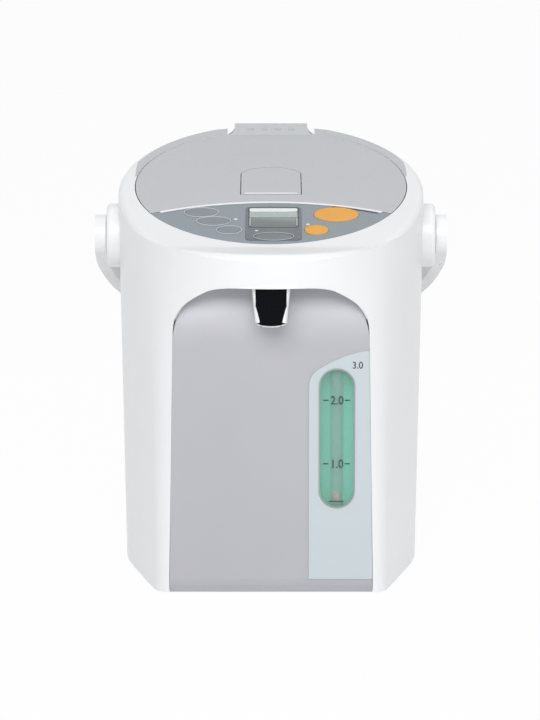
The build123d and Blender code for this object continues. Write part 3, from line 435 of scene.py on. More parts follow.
def figure(words, height, thickness, narrowing=0.92, weight=0.012, smoothness=6):
    """Printed figure at the origin, made a mesh, as high as asked."""
    half_depth = 0.5
    start_clean()
    bpy.ops.object.text_add(location=(0.0, 0.0, 0.0))
    made = bpy.context.object
    made.data.body = words
    made.data.align_x = "CENTER"
    made.data.align_y = "CENTER"
    made.data.extrude = half_depth
    made.data.resolution_u = smoothness
    made.data.offset = weight
    bpy.ops.object.convert(target="MESH")
    made = bpy.context.object
    corners = [point.co for point in made.data.vertices]
    low = min(corner.y for corner in corners)
    high = max(corner.y for corner in corners)
    share = height / (high - low)
    edit_all()
    bpy.ops.transform.translate(value=(0.0, -(low + high) / 2, half_depth))
    leave_edit()
    made.scale = (share * narrowing, share, thickness)
    bpy.ops.object.transform_apply(location=False, rotation=False, scale=True)
    return made


def join_pieces(pieces):
    """Joins settled objects into the first."""
    start_clean()
    for piece in pieces:
        piece.select_set(True)
    bpy.context.view_layer.objects.active = pieces[0]
    bpy.ops.object.join()
    return bpy.context.object


def make_active(piece):
    """Selects one object alone and makes it active."""
    start_clean()
    piece.select_set(True)
    bpy.context.view_layer.objects.active = piece


def place_applied(piece):
    """Puts the piece's place into its mesh."""
    make_active(piece)
    bpy.ops.object.transform_apply(location=True, rotation=True, scale=True)
    return piece


def unselected_mesh():
    """The edit mesh, with nothing selected."""
    mesh = bmesh.from_edit_mesh(bpy.context.object.data)
    for part in (*mesh.verts, *mesh.edges, *mesh.faces):
        part.select_set(False)
    return mesh


def select_points(test):
    """Selects the edit mesh's points that pass a test, and nothing else."""
    mesh = unselected_mesh()
    for point in mesh.verts:
        if test(point.co):
            point.select_set(True)
    mesh.select_flush(True)
    bmesh.update_edit_mesh(bpy.context.object.data)


def select_faces(test):
    """Selects the edit mesh's faces that pass a test, and nothing else."""
    mesh = unselected_mesh()
    for face in mesh.faces:
        if test(face):
            face.select_set(True)
    bmesh.update_edit_mesh(bpy.context.object.data)


def select_edges(test):
    """Selects the edit mesh's edges whose two ends pass a test, and nothing else."""
    mesh = unselected_mesh()
    for edge in mesh.edges:
        if all(test(point.co) for point in edge.verts):
            edge.select_set(True)
    bmesh.update_edit_mesh(bpy.context.object.data)


def draw_down(drop, share):
    """Extrudes the selected face down and scales its width about the middle."""
    bpy.ops.mesh.extrude_region_move(TRANSFORM_OT_translate={"value": (0.0, 0.0, -drop)})
    bpy.ops.transform.resize(value=(share, 1.0, 1.0), center_override=(0.0, 0.0, 0.0))


def cut_with(cutter, operation):
    """Boolean of the active object with a cutter, which goes afterwards."""
    use_modifier("BOOLEAN", object=cutter, operation=operation, solver="EXACT")
    bpy.data.objects.remove(cutter)


def arch_sheet(sizes, grow, fullness=0.57, segments=28):
    """Flat outline of the front opening, narrower above and round at its shoulders."""
    start_clean()
    bpy.ops.mesh.primitive_plane_add(size=1.0)
    half = sizes.panel_half + grow
    top = sizes.panel_top + grow
    edit_all()
    bpy.ops.transform.resize(value=(2 * half, top, 1.0))
    bpy.ops.transform.translate(value=(0.0, top / 2, 0.0))
    select_edges(lambda point: point.y > top / 2)
    bpy.ops.transform.resize(value=(1.0 - sizes.panel_narrowing / half, 1.0, 1.0),
                             center_override=(0.0, 0.0, 0.0))
    bpy.ops.mesh.bevel(offset=sizes.arch_turn + grow, segments=segments, profile=fullness,
                       affect="VERTICES")
    leave_edit()
    return bpy.context.object


# ---- operators ----


class POT_OT_casing(bpy.types.Operator):
    """White casing, shoulder ring, bosses and bail"""
    bl_idname = "pot.casing"
    bl_label = "Casing"

    def execute(self, context):
        colours = context.scene.pot_colours
        white = lacquered("casing_white", tuple(colours.casing), roughness=0.34)
        dress(white, "body_shell", "head_ring", "handle_boss_left", "handle_boss_right")
        dress(lacquered("bail_white", tuple(colours.casing), roughness=0.3), "handle")
        return {"FINISHED"}


class POT_OT_panel(bpy.types.Operator):
    """Silver sheet in the front opening, with soft folds at its foot and under the arch"""
    bl_idname = "pot.panel"
    bl_label = "Silver sheet"

    # Half width of the strip, its section from the foot up, and the bends of its two folds.
    strip_half = 0.08
    flange_foot = 0.001
    flange_tuck = 0.0035
    fold_low = 0.0082
    fold_bend = 0.0035
    hood_lean = 0.008
    hood_rise = 0.0365
    hood_bend = 0.011

    # Blocks that cut it: the gauge's slot and the opening.
    slot_corner = 0.01229
    slot_back = 0.105
    slot_depth = 0.02
    opening_back = 0.09
    opening_depth = 0.06

    def execute(self, context):
        sizes = context.scene.pot_sizes
        colours = context.scene.pot_colours
        sheet = self.folded_sheet(sizes)
        opening = self.opening_prism(sizes)
        make_active(sheet)
        cut_with(opening, "INTERSECT")
        slot = rounded_sheet(SLOT_WIDTH, SLOT_LENGTH, self.slot_corner, segments=16)
        thicken(self.slot_depth)
        stand_on_front(slot, sizes.gauge_x, self.slot_back, GAUGE_MIDDLE)
        place_applied(slot)
        make_active(sheet)
        cut_with(slot, "DIFFERENCE")
        tidy_shell()
        shade_smooth(crease=30.0)
        silver = Finish("front_silver", tuple(colours.silver), roughness=0.42, metallic=0.35)
        silver.mottle(scale=9.0, depth=0.02).uneven_gloss(scale=700.0, spread=0.04)
        silver.grain(scale=5200.0, depth=0.00002)
        piece = settle("silver_sheet", silver, "casing")
        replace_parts(piece, "front_panel")
        return {"FINISHED"}

    def folded_sheet(self, sizes):
        """Strip drawn up along the panel's section, its folds rounded, then given its thickness."""
        start_clean()
        bpy.ops.mesh.primitive_plane_add(size=2 * self.strip_half)
        sheet = bpy.context.object
        sheet.rotation_euler = (math.pi / 2, 0.0, 0.0)
        bpy.ops.object.transform_apply(location=False, rotation=True, scale=False)
        bpy.ops.object.mode_set(mode="EDIT")
        select_edges(lambda point: point.z > 0.0)
        bpy.ops.transform.translate(value=(0.0, 0.0, self.fold_low - self.strip_half))
        select_edges(lambda point: point.z < 0.0)
        bpy.ops.transform.translate(value=(0.0, self.flange_tuck, self.flange_foot + self.strip_half))
        select_edges(lambda point: point.z > self.flange_foot + NEAR)
        bpy.ops.mesh.extrude_region_move(
            TRANSFORM_OT_translate={"value": (0.0, 0.0, sizes.hood_foot - self.fold_low)})
        bpy.ops.mesh.extrude_region_move(
            TRANSFORM_OT_translate={"value": (0.0, self.hood_lean, self.hood_rise)})
        select_edges(lambda point: abs(point.z - sizes.hood_foot) < NEAR)
        bpy.ops.mesh.bevel(offset=self.hood_bend, segments=14, affect="EDGES")
        select_edges(lambda point: abs(point.z - self.fold_low) < NEAR)
        bpy.ops.mesh.bevel(offset=self.fold_bend, segments=8, affect="EDGES")
        bpy.ops.mesh.select_all(action="SELECT")
        bpy.ops.transform.translate(value=(0.0, -sizes.panel_front, 0.0))
        bpy.ops.mesh.normals_make_consistent(inside=False)
        leave_edit()
        front = sum(face.normal.y for face in sheet.data.polygons)
        use_modifier("SOLIDIFY", thickness=sizes.panel_thickness, offset=-1.0 if front < 0.0 else 1.0)
        return sheet

    def opening_prism(self, sizes):
        """Block with the panel's outline."""
        prism = arch_sheet(sizes, 0.0)
        thicken(self.opening_depth)
        stand_on_front(prism, 0.0, self.opening_back, 0.0)
        return place_applied(prism)


class POT_OT_arch(bpy.types.Operator):
    """White lip that lines the front opening"""
    bl_idname = "pot.arch"
    bl_label = "Arch lip"

    foot = 0.004
    back = 0.1165
    depth = 0.07
    edge = 0.0007

    # The casing's plan just inside its skin, where the lip ends.
    plan_half_width = 0.1063
    plan_front = 0.1478
    plan_back = 0.133
    plan_widest = 0.006
    plan_height = 0.3

    def execute(self, context):
        sizes = context.scene.pot_sizes
        colours = context.scene.pot_colours
        lip = arch_sheet(sizes, sizes.panel_gap + sizes.lip_width)
        hollow(sizes.lip_width)
        edit_all()
        bpy.ops.mesh.bisect(plane_co=(0.0, self.foot, 0.0), plane_no=(0.0, 1.0, 0.0), clear_inner=True)
        leave_edit()
        thicken(self.depth)
        stand_on_front(lip, 0.0, self.back, 0.0)
        place_applied(lip)
        plan = egg_sheet(self.plan_half_width, self.plan_front, self.plan_back, self.plan_widest)
        thicken(self.plan_height)
        make_active(lip)
        cut_with(plan, "INTERSECT")
        ease_edges(self.edge, 3, crease=50.0)
        tidy_shell()
        shade_smooth(crease=35.0)
        settle("arch_lip", lacquered("lip_white", tuple(colours.casing), roughness=0.34), "casing")
        return {"FINISHED"}


class POT_OT_gauge(bpy.types.Operator):
    """Level gauge: film, trough, tube, ball and window"""
    bl_idname = "pot.gauge"
    bl_label = "Level gauge"

    def execute(self, context):
        colours = context.scene.pot_colours
        film = Finish("gauge_film", tuple(colours.film), roughness=0.34)
        film.mottle(scale=5.0, depth=0.008).uneven_gloss(scale=18.0, spread=0.02)
        film.grain(scale=90.0, depth=0.000002)
        dress(film, "gauge_plate")
        dress(moulded("gauge_green", tuple(colours.water_green), roughness=0.35), "gauge_housing")
        dress(clear("window_clear", tint(206, 238, 230)), "gauge_window")
        tube = clear("tube_clear", tint(190, 250, 232))
        dress(tube.set(Alpha=0.17), "sight_tube")
        dress(moulded("float_red", tuple(colours.float_red), roughness=0.3), "float_ball")
        return {"FINISHED"}


class POT_OT_gauge_marks(bpy.types.Operator):
    """Printed figures, ticks and rim on the level gauge"""
    bl_idname = "pot.gauge_marks"
    bl_label = "Gauge marks"

    # Height of each figure on the window, and place and width of the tick on either side.
    figures = (("2.0", 0.1342), ("1.0", 0.0907))
    ticks = ((0.0369, 0.0038), (0.0514, 0.0034))
    tick_height = 0.0009

    # Line at the lowest mark.
    line_shift = -0.0004
    line_z = 0.0648
    line_width = 0.0102
    line_height = 0.0008

    # Figure above the window, on the film.
    top_x = 0.0582
    top_z = 0.1581

    # Rim round the window.
    rim_corner = 0.01225
    rim_width = 0.0011
    rim_rise = 0.00035
    rim_edge = 0.00012

    def execute(self, context):
        sizes = context.scene.pot_sizes
        colours = context.scene.pot_colours
        ink = moulded("print_ink", tuple(colours.print_ink), roughness=0.5, mottle=0.02, grain=0.000005)
        thin = sizes.print_thickness
        marks = []
        for words, z in self.figures:
            made = figure(words, sizes.figure_height, thin)
            stand_on_front(made, sizes.gauge_x, sizes.glass_front, z)
            marks.append(place_applied(made))
            for x, width in self.ticks:
                marks.append(self.bar(x, z, width, self.tick_height, sizes))
        line_x = sizes.gauge_x + self.line_shift
        marks.append(self.bar(line_x, self.line_z, self.line_width, self.line_height, sizes))
        join_pieces(marks)
        settle("gauge_marks", ink, "casing")
        made = figure("3.0", sizes.top_figure_height, thin)
        stand_on_front(made, self.top_x, sizes.film_front, self.top_z)
        place_applied(made)
        settle("top_figure", ink, "casing")
        rim = rounded_sheet(SLOT_WIDTH, SLOT_LENGTH, self.rim_corner, segments=20)
        hollow(self.rim_width)
        thicken(self.rim_rise, soften=self.rim_edge)
        stand_on_front(rim, sizes.gauge_x, sizes.film_front, GAUGE_MIDDLE)
        settle("gauge_rim", moulded("rim_grey", tint(150, 158, 154), roughness=0.4), "casing")
        return {"FINISHED"}

    def bar(self, x, z, width, height, sizes):
        """Printed bar on the window, its corners a little round."""
        made = rounded_sheet(width, height, height / 4, segments=2)
        thicken(sizes.print_thickness)
        stand_on_front(made, x, sizes.glass_front, z)
        return place_applied(made)


class POT_OT_spout(bpy.types.Operator):
    """Black spout with a flared lip, in its pale guard"""
    bl_idname = "pot.spout"
    bl_label = "Spout"

    depth = 0.0165
    crease = 34.0
    closer = 0.00003
    first_step = 0.0004

    # Spout: its width at the arch, then how far each stretch drops and what share of its width it
    # ends at.
    width = 0.0222
    corner = 0.0025
    stem = (0.0116, 0.99 / 1.03)
    waist = (0.0106, 0.76)
    flare = (0.0012, 1.26)
    lip_half = 0.0094
    lip_edge = 0.0004

    # Guard: the same for its one long stretch and its foot, and the rim round its sunk front.
    guard_width = 0.0256
    guard_corner = 0.0035
    guard_setback = 0.0006
    guard_share = 10.7 / 12.8
    guard_foot = (0.0016, 0.93)
    guard_half = 0.0099
    guard_edge = 0.0008
    rim_width = 0.0009
    rim_depth = 0.0009
    cheek_zone = (0.0005, 0.004)

    # How squarely a face looks forward to count as front or as cheek.
    front_facing = 0.9
    cheek_facing = 0.8

    # How far each lip sags in the middle, how far above its foot a point still counts as lip, and
    # the outlet in its underside.
    sag = 0.0013
    lip_reach = 0.0004
    outlet_rim = 0.0028
    outlet_depth = 0.006
    outlet_share = 0.8

    def execute(self, context):
        self.make_spout(context.scene.pot_sizes, context.scene.pot_colours)
        self.make_guard(context.scene.pot_sizes, context.scene.pot_colours)
        return {"FINISHED"}

    def make_spout(self, sizes, colours):
        """The black body, from the arch down to its flared lip."""
        self.block(self.width, self.corner, sizes.panel_top, sizes.spout_front)
        for drop, share in (self.stem, self.waist, self.flare):
            draw_down(drop, share)
        self.outlet()
        self.bow(self.lip_half, sizes.spout_foot)
        ease_edges(self.lip_edge, 2, self.crease)
        tidy_shell(self.closer)
        shade_smooth(self.crease)
        black = moulded("spout_black", tuple(colours.dark), roughness=0.3, mottle=0.015, grain=0.000003,
                        grain_scale=300.0)
        black.set(Specular_IOR_Level=0.06)
        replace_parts(settle("spout", black, "casing"), "nozzle")

    def make_guard(self, sizes, colours):
        """The pale guard round the spout, its front sunk inside a rim."""
        front = sizes.spout_front - self.guard_setback
        foot_drop, foot_share = self.guard_foot
        self.block(self.guard_width, self.guard_corner, sizes.panel_top, front)
        draw_down(sizes.panel_top - sizes.spout_foot - self.first_step, self.guard_share)
        draw_down(foot_drop, foot_share)
        self.outlet()
        self.bow(self.guard_half, sizes.spout_foot - foot_drop)
        self.sink_front(front)
        ease_edges(self.guard_edge, 3, self.crease)
        tidy_shell(self.closer)
        shade_smooth(self.crease)
        white = lacquered("guard_white", tuple(colours.casing), roughness=0.3)
        cheek = moulded("guard_cheek", tint(128, 131, 136), roughness=0.4)
        guard = settle("spout_guard", white, "casing")
        guard.data.materials.append(cheek.material)
        bpy.ops.object.mode_set(mode="EDIT")
        select_faces(lambda face: self.is_cheek(face, -front))
        guard.active_material_index = 1
        bpy.ops.object.material_slot_assign()
        leave_edit()
        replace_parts(guard, "nozzle_cover")

    def is_cheek(self, face, front):
        """True for a face that looks forward from just behind the guard's front."""
        behind = face.calc_center_median().y - front
        nearest, farthest = self.cheek_zone
        return nearest < behind < farthest and face.normal.y < -self.cheek_facing

    def block(self, width, corner, top, front):
        """Starts a round-cornered block at the arch's top and leaves its underside selected."""
        made = rounded_sheet(width, self.depth, corner, segments=6)
        made.location = (0.0, -front + self.depth / 2, top)
        place_applied(made)
        edit_all()
        draw_down(self.first_step, 1.0)

    def outlet(self):
        """Sinks a mouth into the underside."""
        bpy.ops.mesh.inset(thickness=self.outlet_rim)
        bpy.ops.mesh.extrude_region_move(TRANSFORM_OT_translate={"value": (0.0, 0.0, self.outlet_depth)})
        bpy.ops.transform.resize(value=(self.outlet_share, self.outlet_share, 1.0))

    def bow(self, half, foot):
        """Lets the lip sag towards its middle."""
        steps = (-0.75, -0.5, -0.25, 0.0, 0.25, 0.5, 0.75)
        for step in steps:
            bpy.ops.mesh.select_all(action="SELECT")
            bpy.ops.mesh.bisect(plane_co=(step * half, 0.0, 0.0), plane_no=(1.0, 0.0, 0.0))
        for step in steps:
            place = step * half
            select_points(lambda point: point.z < foot + self.lip_reach and abs(point.x - place) < NEAR)
            bpy.ops.transform.translate(value=(0.0, 0.0, -self.sag * (1.0 - step * step)))
        leave_edit()

    def sink_front(self, front):
        """Sinks the front face inside an even rim."""
        bpy.ops.object.mode_set(mode="EDIT")
        select_faces(lambda face: face.normal.y < -self.front_facing
                     and face.calc_center_median().y < 2 * NEAR - front)
        bpy.ops.mesh.inset(thickness=self.rim_width)
        bpy.ops.mesh.extrude_region_move(TRANSFORM_OT_translate={"value": (0.0, self.rim_depth, 0.0)})
        leave_edit()


class POT_OT_controls(bpy.types.Operator):
    """Control panel, display and keys"""
    bl_idname = "pot.controls"
    bl_label = "Controls"

    def execute(self, context):
        colours = context.scene.pot_colours
        dress(moulded("panel_slate", tuple(colours.slate), roughness=0.45, mottle=0.01), "control_panel")
        dress(rubber("key_orange", tuple(colours.orange)), "dispense_button", "unlock_button")
        dress(rubber("key_slate", tuple(colours.key)), "upper_button", "middle_button", "lower_button")
        dress(rubber("key_dark", tint(112, 118, 122)), "select_button")
        dress(moulded("display_surround", tint(92, 98, 104), roughness=0.35), "display_frame")
        dress(clear("display_clear", tint(225, 232, 230)), "display_window")
        dress(moulded("display_back", tint(150, 158, 156), roughness=0.4), "display_cell")
        dress(moulded("light_lens", tint(238, 238, 232), roughness=0.2), "indicator_lights")
        return {"FINISHED"}


class POT_OT_key_rims(bpy.types.Operator):
    """Pale rims round the slate keys and the display's key, painted highlights on the keys' rounded edges"""
    bl_idname = "pot.key_rims"
    bl_label = "Key rims"

    # Place, width and length of the key inside each rim, measured on the lid's plane.
    keys = {
        "upper_rim": (-0.0479, -0.0473, 0.0220, 0.0162),
        "middle_rim": (-0.0393, -0.0639, 0.0218, 0.0150),
        "lower_rim": (-0.0285, -0.0806, 0.0155, 0.0140),
        "select_rim": (0.0017, -0.0933, 0.0257, 0.0129),
    }
    gap = 0.00035
    rise = 0.0005
    edge = 0.00018
    frame_lift = 0.0003

    def execute(self, context):
        sizes = context.scene.pot_sizes
        # Both rim colours are painted highlights along the keys' rounded edges; the one round the display's
        # key is dimmer.
        pale = moulded("rim_painted_highlight", tint(196, 201, 208), roughness=0.35)
        dim_highlight = moulded("rim_painted_highlight_dim", tint(176, 182, 180), roughness=0.35)
        room = self.gap + sizes.key_rim
        for name, (x, y, width, length) in self.keys.items():
            on_frame = name == "select_rim"
            rim = oval_sheet(width / 2 + room, length / 2 + room)
            hollow(sizes.key_rim)
            thicken(self.rise, soften=self.edge)
            stand_on_lid(rim, sizes, x, y, self.frame_lift if on_frame else 0.0)
            settle(name, dim_highlight if on_frame else pale, "casing")
        return {"FINISHED"}


class POT_OT_display(bpy.types.Operator):
    """What the display shows: pale strip, dark field and side strips; with a bright band above them that is
    a painted reflection on its window
    """
    bl_idname = "pot.display"
    bl_label = "Display"

    middle = 0.0017
    rise = 0.00025
    edge = 0.00008

    # Place along the lid, width, length and corner of each sheet.
    # The band is a painted reflection of light on the display's window.
    band = (-0.0425, 0.0330, 0.0066, 0.0016)
    strip = (-0.0517, 0.0330, 0.0104, 0.0006)
    field = (-0.0665, 0.0306, 0.0178, 0.0006)
    side = (-0.0650, 0.0010, 0.0150, 0.0003)
    side_place = 0.0160

    def execute(self, context):
        sizes = context.scene.pot_sizes
        # The bright finish paints a reflection on the window; the pale and dark ones are the display's own
        # tones.
        bright = moulded("display_painted_reflection", tint(232, 237, 238), roughness=0.25, mottle=0.01)
        pale = moulded("display_pale", tint(168, 178, 175), roughness=0.3, mottle=0.02)
        dark = lacquered("display_dark", tint(104, 110, 110), roughness=0.22)
        self.sheet("display_reflection_band", self.middle, self.band, bright, sizes, segments=5)
        self.sheet("display_strip", self.middle, self.strip, pale, sizes, segments=5)
        self.sheet("display_field", self.middle, self.field, dark, sizes, segments=5)
        self.sheet("display_side_left", self.middle - self.side_place, self.side, pale, sizes, segments=2)
        self.sheet("display_side_right", self.middle + self.side_place, self.side, pale, sizes, segments=2)
        return {"FINISHED"}

    def sheet(self, name, x, form, finish, sizes, segments):
        """Thin sheet with round corners, flat on the display."""
        y, width, length, corner = form
        made = rounded_sheet(width, length, corner, segments)
        thicken(self.rise, soften=self.edge)
        stand_on_lid(made, sizes, x, y, 0.0)
        settle(name, finish, "casing")


class POT_OT_rib(bpy.types.Operator):
    """White rib between lid and control panel, and in front of it a dark strip that paints the shadow inside
    the finger slot
    """
    bl_idname = "pot.rib"
    bl_label = "Rib and slot"

    inset = 0.0003
    sweep = 56.4
    round_share = 0.45

    # Dark strip in front of the rib: painted shadow of the finger slot's recess, not a part of its own.
    shadow_strip_width = 0.0021
    shadow_strip_rise = 0.00012
    shadow_strip_sweep = 12.0
    shadow_strip_turn = 21.4

    def execute(self, context):
        sizes = context.scene.pot_sizes
        colours = context.scene.pot_colours
        centre = -sizes.lid_split - sizes.split_radius
        edge = sizes.split_radius - self.inset
        arc_strip(edge, sizes.rib_width, sizes.rib_rise, math.radians(self.sweep), steps=96)
        ease_edges(sizes.rib_rise * self.round_share, 3, crease=60.0)
        shade_smooth(crease=35.0)
        stand_on_lid(bpy.context.object, sizes, 0.0, centre, 0.0)
        settle("lid_rib", lacquered("rib_white", tuple(colours.casing), roughness=0.3), "casing")
        # The dark strip paints the shadow that falls into the finger slot.
        slot = arc_strip(edge - sizes.rib_width, self.shadow_strip_width, self.shadow_strip_rise,
                         math.radians(self.shadow_strip_sweep), steps=24)
        slot.rotation_euler = (0.0, 0.0, -math.radians(self.shadow_strip_turn))
        place_applied(slot)
        stand_on_lid(slot, sizes, 0.0, centre, 0.0)
        settle("finger_slot_painted_shadow", moulded("slot_painted_shadow", tint(74, 80, 84), roughness=0.6), "casing")
        return {"FINISHED"}


class POT_OT_lid(bpy.types.Operator):
    """Lid, lever and vent cover"""
    bl_idname = "pot.lid"
    bl_label = "Lid"

    def execute(self, context):
        colours = context.scene.pot_colours
        grey = moulded("lid_grey", tuple(colours.lid), roughness=0.42, mottle=0.01, grain_scale=1500.0)
        dress(grey, "lid_cover", "lid_lever", "vent_cover")
        return {"FINISHED"}


class POT_OT_rear_trim(bpy.types.Operator):
    """Grey trim on the shoulder behind the lid, either side of the hinge"""
    bl_idname = "pot.rear_trim"
    bl_label = "Rear trim"

    # Outline of the shoulder that it lies on: half width, front, back and widest place.
    shoulder = (0.1022, 0.15, 0.1321, 0.0062)
    # Outline of the lid's well, which it ends at.
    well = (0.0959, 0.1067, 0.1201, 0.008)
    # Block that rounds its outer corners: width, length, corner.
    block = (0.192, 0.254, 0.0959)
    block_fullness = 0.56
    # Notch for the hinge: width, length, corner, and its place along the lid.
    notch = (0.0646, 0.08, 0.001)
    notch_y = 0.13
    front_end = 0.024
    cutter_height = 0.01

    def execute(self, context):
        sizes = context.scene.pot_sizes
        colours = context.scene.pot_colours
        trim = egg_sheet(*self.shoulder)
        thicken(sizes.trim_rise)
        block = rounded_sheet(*self.block, segments=40, fullness=self.block_fullness)
        self.deepen(block)
        well = egg_sheet(*self.well)
        self.deepen(well)
        notch = rounded_sheet(*self.notch, segments=2)
        notch.location = (0.0, self.notch_y, 0.0)
        self.deepen(notch)
        make_active(trim)
        cut_with(block, "INTERSECT")
        cut_with(well, "DIFFERENCE")
        cut_with(notch, "DIFFERENCE")
        edit_all()
        bpy.ops.mesh.bisect(plane_co=(0.0, self.front_end, 0.0), plane_no=(0.0, 1.0, 0.0),
                            clear_inner=True, use_fill=True)
        leave_edit()
        tidy_shell()
        shade_smooth(crease=35.0)
        stand_on_lid(trim, sizes, 0.0, 0.0, 0.0)
        grey = moulded("trim_grey", tuple(colours.lid), roughness=0.42, mottle=0.01, grain_scale=1500.0)
        settle("rear_trim", grey, "casing")
        return {"FINISHED"}

    def deepen(self, cutter):
        """Makes a sheet into a block that reaches above and below the trim."""
        cutter.location.z -= self.cutter_height / 2
        place_applied(cutter)
        thicken(self.cutter_height)


class POT_OT_lever_lip(bpy.types.Operator):
    """Raised lip at the lever's front edge, pale as a painted highlight along that edge"""
    bl_idname = "pot.lever_lip"
    bl_label = "Lever lip"

    width = 0.0372
    length = 0.0022
    corner = 0.0009
    rise = 0.0006
    edge = 0.00028
    place = -0.0104

    def execute(self, context):
        sizes = context.scene.pot_sizes
        lip = rounded_sheet(self.width, self.length, self.corner, segments=5)
        thicken(self.rise, soften=self.edge, segments=3)
        stand_on_lid(lip, sizes, 0.0, self.place, 0.0)
        # Its pale colour is a painted highlight on the lever's front edge.
        settle("lever_lip", moulded("lever_painted_highlight", tint(226, 228, 230), roughness=0.35), "lever")
        return {"FINISHED"}


class POT_OT_inside(bpy.types.Operator):
    """Pieces inside and underneath"""
    bl_idname = "pot.inside"
    bl_label = "Inside and underneath"

    def execute(self, context):
        steel = satin_metal("container_steel", tint(186, 186, 188), roughness=0.3)
        dress(steel, "water_container", "temperature_sensor", "heater")
        dress(satin_metal("bright_steel", tint(205, 205, 208), roughness=0.18, metallic=1.0),
              "lever_pin", "hinge_pin", "base_screws", "turntable_screw", "pivot_pins", "pump_motor")
        dress(satin_metal("pin_brass", tint(214, 184, 120), roughness=0.25, metallic=1.0), "inlet_pins")
        dress(rubber("seal_silicone", tint(222, 222, 218)),
              "mouth_seal", "lid_gasket", "pump_hose", "delivery_hose")
        dress(moulded("inner_grey", tint(190, 192, 194), roughness=0.45),
              "lid_inner", "base_cover", "turntable", "pump_housing", "impeller", "lid_latch", "steam_valve")
        dress(rubber("mat_rubber", tint(70, 70, 72), roughness=0.75), "rubber_mat")
        dress(moulded("inlet_black", tint(40, 40, 42), roughness=0.4), "power_inlet", "drive_magnet")
        dress(moulded("jacket_foam", tint(228, 228, 224), roughness=0.8), "vacuum_jacket")
        dress(moulded("board_green", tint(40, 110, 70), roughness=0.35), "control_board", "power_board")
        return {"FINISHED"}


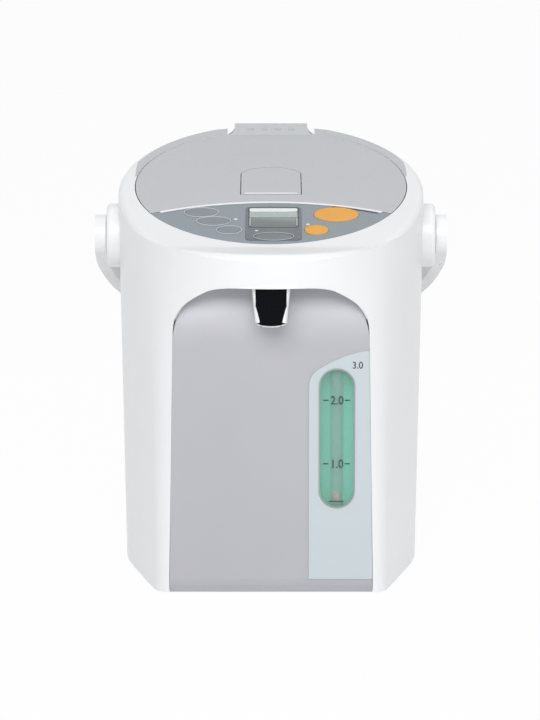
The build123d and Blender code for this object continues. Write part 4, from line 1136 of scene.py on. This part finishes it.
class POT_OT_stage(bpy.types.Operator):
    """Floor, studio lights, surroundings and camera"""
    bl_idname = "pot.stage"
    bl_label = "Stage"

    floor_radius = 24.0
    fill_share = 0.15
    camera_shift = -0.0007
    sensor_width = 36.0
    lens = 165.6217
    nearest = 0.1
    farthest = 100.0
    aim = Vector((0.0, 0.0, 0.15))
    floor_colour = (0.92, 0.92, 0.92, 1.0)
    room_colour = (0.97, 0.985, 1.0, 1.0)
    pure_white = (1.0, 1.0, 1.0, 1.0)
    floor_lift = 0.96

    def execute(self, context):
        stage = context.scene.pot_stage
        start_clean()
        bpy.ops.mesh.primitive_circle_add(vertices=96, radius=self.floor_radius, fill_type="NGON",
                                          location=(0.0, 0.0, 0.0))
        floor = context.object
        floor.name = "floor"
        bpy.ops.object.transform_apply(location=True, rotation=True, scale=True)
        floor.data.materials.append(self.floor_material())
        self.softbox(context, "key_light", (-0.25, -2.2, 1.5), 1.9, 1.2, stage.key_power)
        self.softbox(context, "fill_light", (1.7, -1.2, 0.8), 1.2, 1.2, stage.key_power * self.fill_share)
        self.softbox(context, "top_light", (0.0, 0.1, 1.7), 1.6, 1.6, stage.top_power)
        self.surroundings(context, stage.room)
        context.scene.camera = self.camera(context, stage)
        context.scene.view_settings.view_transform = "Standard"
        return {"FINISHED"}

    def camera(self, context, stage):
        view = bpy.data.cameras.new("camera")
        view.sensor_width = self.sensor_width
        view.lens = self.lens
        view.clip_start = self.nearest
        view.clip_end = self.farthest
        camera = bpy.data.objects.new("camera", view)
        context.scene.collection.objects.link(camera)
        camera.location = (self.camera_shift, -stage.camera_distance, stage.camera_height)
        camera.rotation_euler = (math.pi / 2 - stage.camera_pitch, 0.0, 0.0)
        return camera

    def softbox(self, context, name, place, width, height, power):
        """Rectangular light that looks at the pot's middle."""
        lamp = bpy.data.lights.new(name, "AREA")
        lamp.shape = "RECTANGLE"
        lamp.size = width
        lamp.size_y = height
        lamp.energy = power
        box = bpy.data.objects.new(name, lamp)
        context.scene.collection.objects.link(box)
        box.location = place
        box.rotation_euler = (self.aim - Vector(place)).to_track_quat("-Z", "Y").to_euler()

    def seen_share(self, tree):
        """1 for camera, glossy and transmission rays, else 0."""
        path = tree.nodes.new("ShaderNodeLightPath")
        share = path.outputs["Is Camera Ray"]
        for name in ("Is Glossy Ray", "Is Transmission Ray"):
            larger = tree.nodes.new("ShaderNodeMath")
            larger.operation = "MAXIMUM"
            tree.links.new(share, larger.inputs[0])
            tree.links.new(path.outputs[name], larger.inputs[1])
            share = larger.outputs["Value"]
        return share

    def floor_material(self):
        """Paper that is seen nearly white, and meets every other ray as pale paper does."""
        paper = bpy.data.materials.new("paper_floor")
        paper.use_nodes = True
        tree = paper.node_tree
        tree.nodes.clear()
        diffuse = tree.nodes.new("ShaderNodeBsdfDiffuse")
        diffuse.inputs["Color"].default_value = self.floor_colour
        white = tree.nodes.new("ShaderNodeEmission")
        white.inputs["Color"].default_value = self.pure_white
        white.inputs["Strength"].default_value = 1.0
        lift = tree.nodes.new("ShaderNodeMath")
        lift.operation = "MULTIPLY"
        lift.inputs[1].default_value = self.floor_lift
        tree.links.new(self.seen_share(tree), lift.inputs[0])
        mix = tree.nodes.new("ShaderNodeMixShader")
        tree.links.new(lift.outputs["Value"], mix.inputs["Fac"])
        tree.links.new(diffuse.outputs["BSDF"], mix.inputs[1])
        tree.links.new(white.outputs["Emission"], mix.inputs[2])
        output = tree.nodes.new("ShaderNodeOutputMaterial")
        tree.links.new(mix.outputs["Shader"], output.inputs["Surface"])
        return paper

    def surroundings(self, context, strength):
        """Even room light, seen as plain white."""
        world = bpy.data.worlds.new("studio")
        context.scene.world = world
        world.use_nodes = True
        tree = world.node_tree
        tree.nodes.clear()
        room = tree.nodes.new("ShaderNodeBackground")
        room.inputs["Color"].default_value = self.room_colour
        room.inputs["Strength"].default_value = strength
        white = tree.nodes.new("ShaderNodeBackground")
        white.inputs["Color"].default_value = self.pure_white
        white.inputs["Strength"].default_value = 1.0
        mix = tree.nodes.new("ShaderNodeMixShader")
        tree.links.new(self.seen_share(tree), mix.inputs["Fac"])
        tree.links.new(room.outputs["Background"], mix.inputs[1])
        tree.links.new(white.outputs["Background"], mix.inputs[2])
        output = tree.nodes.new("ShaderNodeOutputWorld")
        tree.links.new(mix.outputs["Shader"], output.inputs["Surface"])


class POT_PT_sidebar(bpy.types.Panel):
    """Lists the pot's pieces, colours, sizes and stage"""
    bl_idname = "POT_PT_sidebar"
    bl_label = "Thermo pot"
    bl_space_type = "VIEW_3D"
    bl_region_type = "UI"
    bl_category = "Thermo pot"

    def draw(self, context):
        layout = self.layout
        for operator in OPERATORS:
            layout.operator(operator.bl_idname)
        for group in (context.scene.pot_colours, context.scene.pot_sizes, context.scene.pot_stage):
            box = layout.box()
            for key in group.__annotations__:
                box.prop(group, key)


GROUPS = (PotColours, PotSizes, PotStage)
OPERATORS = (
    POT_OT_casing, POT_OT_panel, POT_OT_arch, POT_OT_gauge, POT_OT_gauge_marks, POT_OT_spout,
    POT_OT_controls, POT_OT_key_rims, POT_OT_display, POT_OT_rib, POT_OT_lid, POT_OT_rear_trim,
    POT_OT_lever_lip, POT_OT_inside, POT_OT_stage,
)


def register():
    for cls in (*GROUPS, *OPERATORS, POT_PT_sidebar):
        bpy.utils.register_class(cls)
    bpy.types.Scene.pot_colours = PointerProperty(type=PotColours)
    bpy.types.Scene.pot_sizes = PointerProperty(type=PotSizes)
    bpy.types.Scene.pot_stage = PointerProperty(type=PotStage)


def unregister():
    del bpy.types.Scene.pot_stage
    del bpy.types.Scene.pot_sizes
    del bpy.types.Scene.pot_colours
    for cls in reversed((*GROUPS, *OPERATORS, POT_PT_sidebar)):
        bpy.utils.unregister_class(cls)


def main():
    register()
    bpy.ops.pot.casing()
    bpy.ops.pot.panel()
    bpy.ops.pot.arch()
    bpy.ops.pot.gauge()
    bpy.ops.pot.gauge_marks()
    bpy.ops.pot.spout()
    bpy.ops.pot.controls()
    bpy.ops.pot.key_rims()
    bpy.ops.pot.display()
    bpy.ops.pot.rib()
    bpy.ops.pot.lid()
    bpy.ops.pot.rear_trim()
    bpy.ops.pot.lever_lip()
    bpy.ops.pot.inside()
    bpy.ops.pot.stage()


if __name__ == "__main__":
    main()
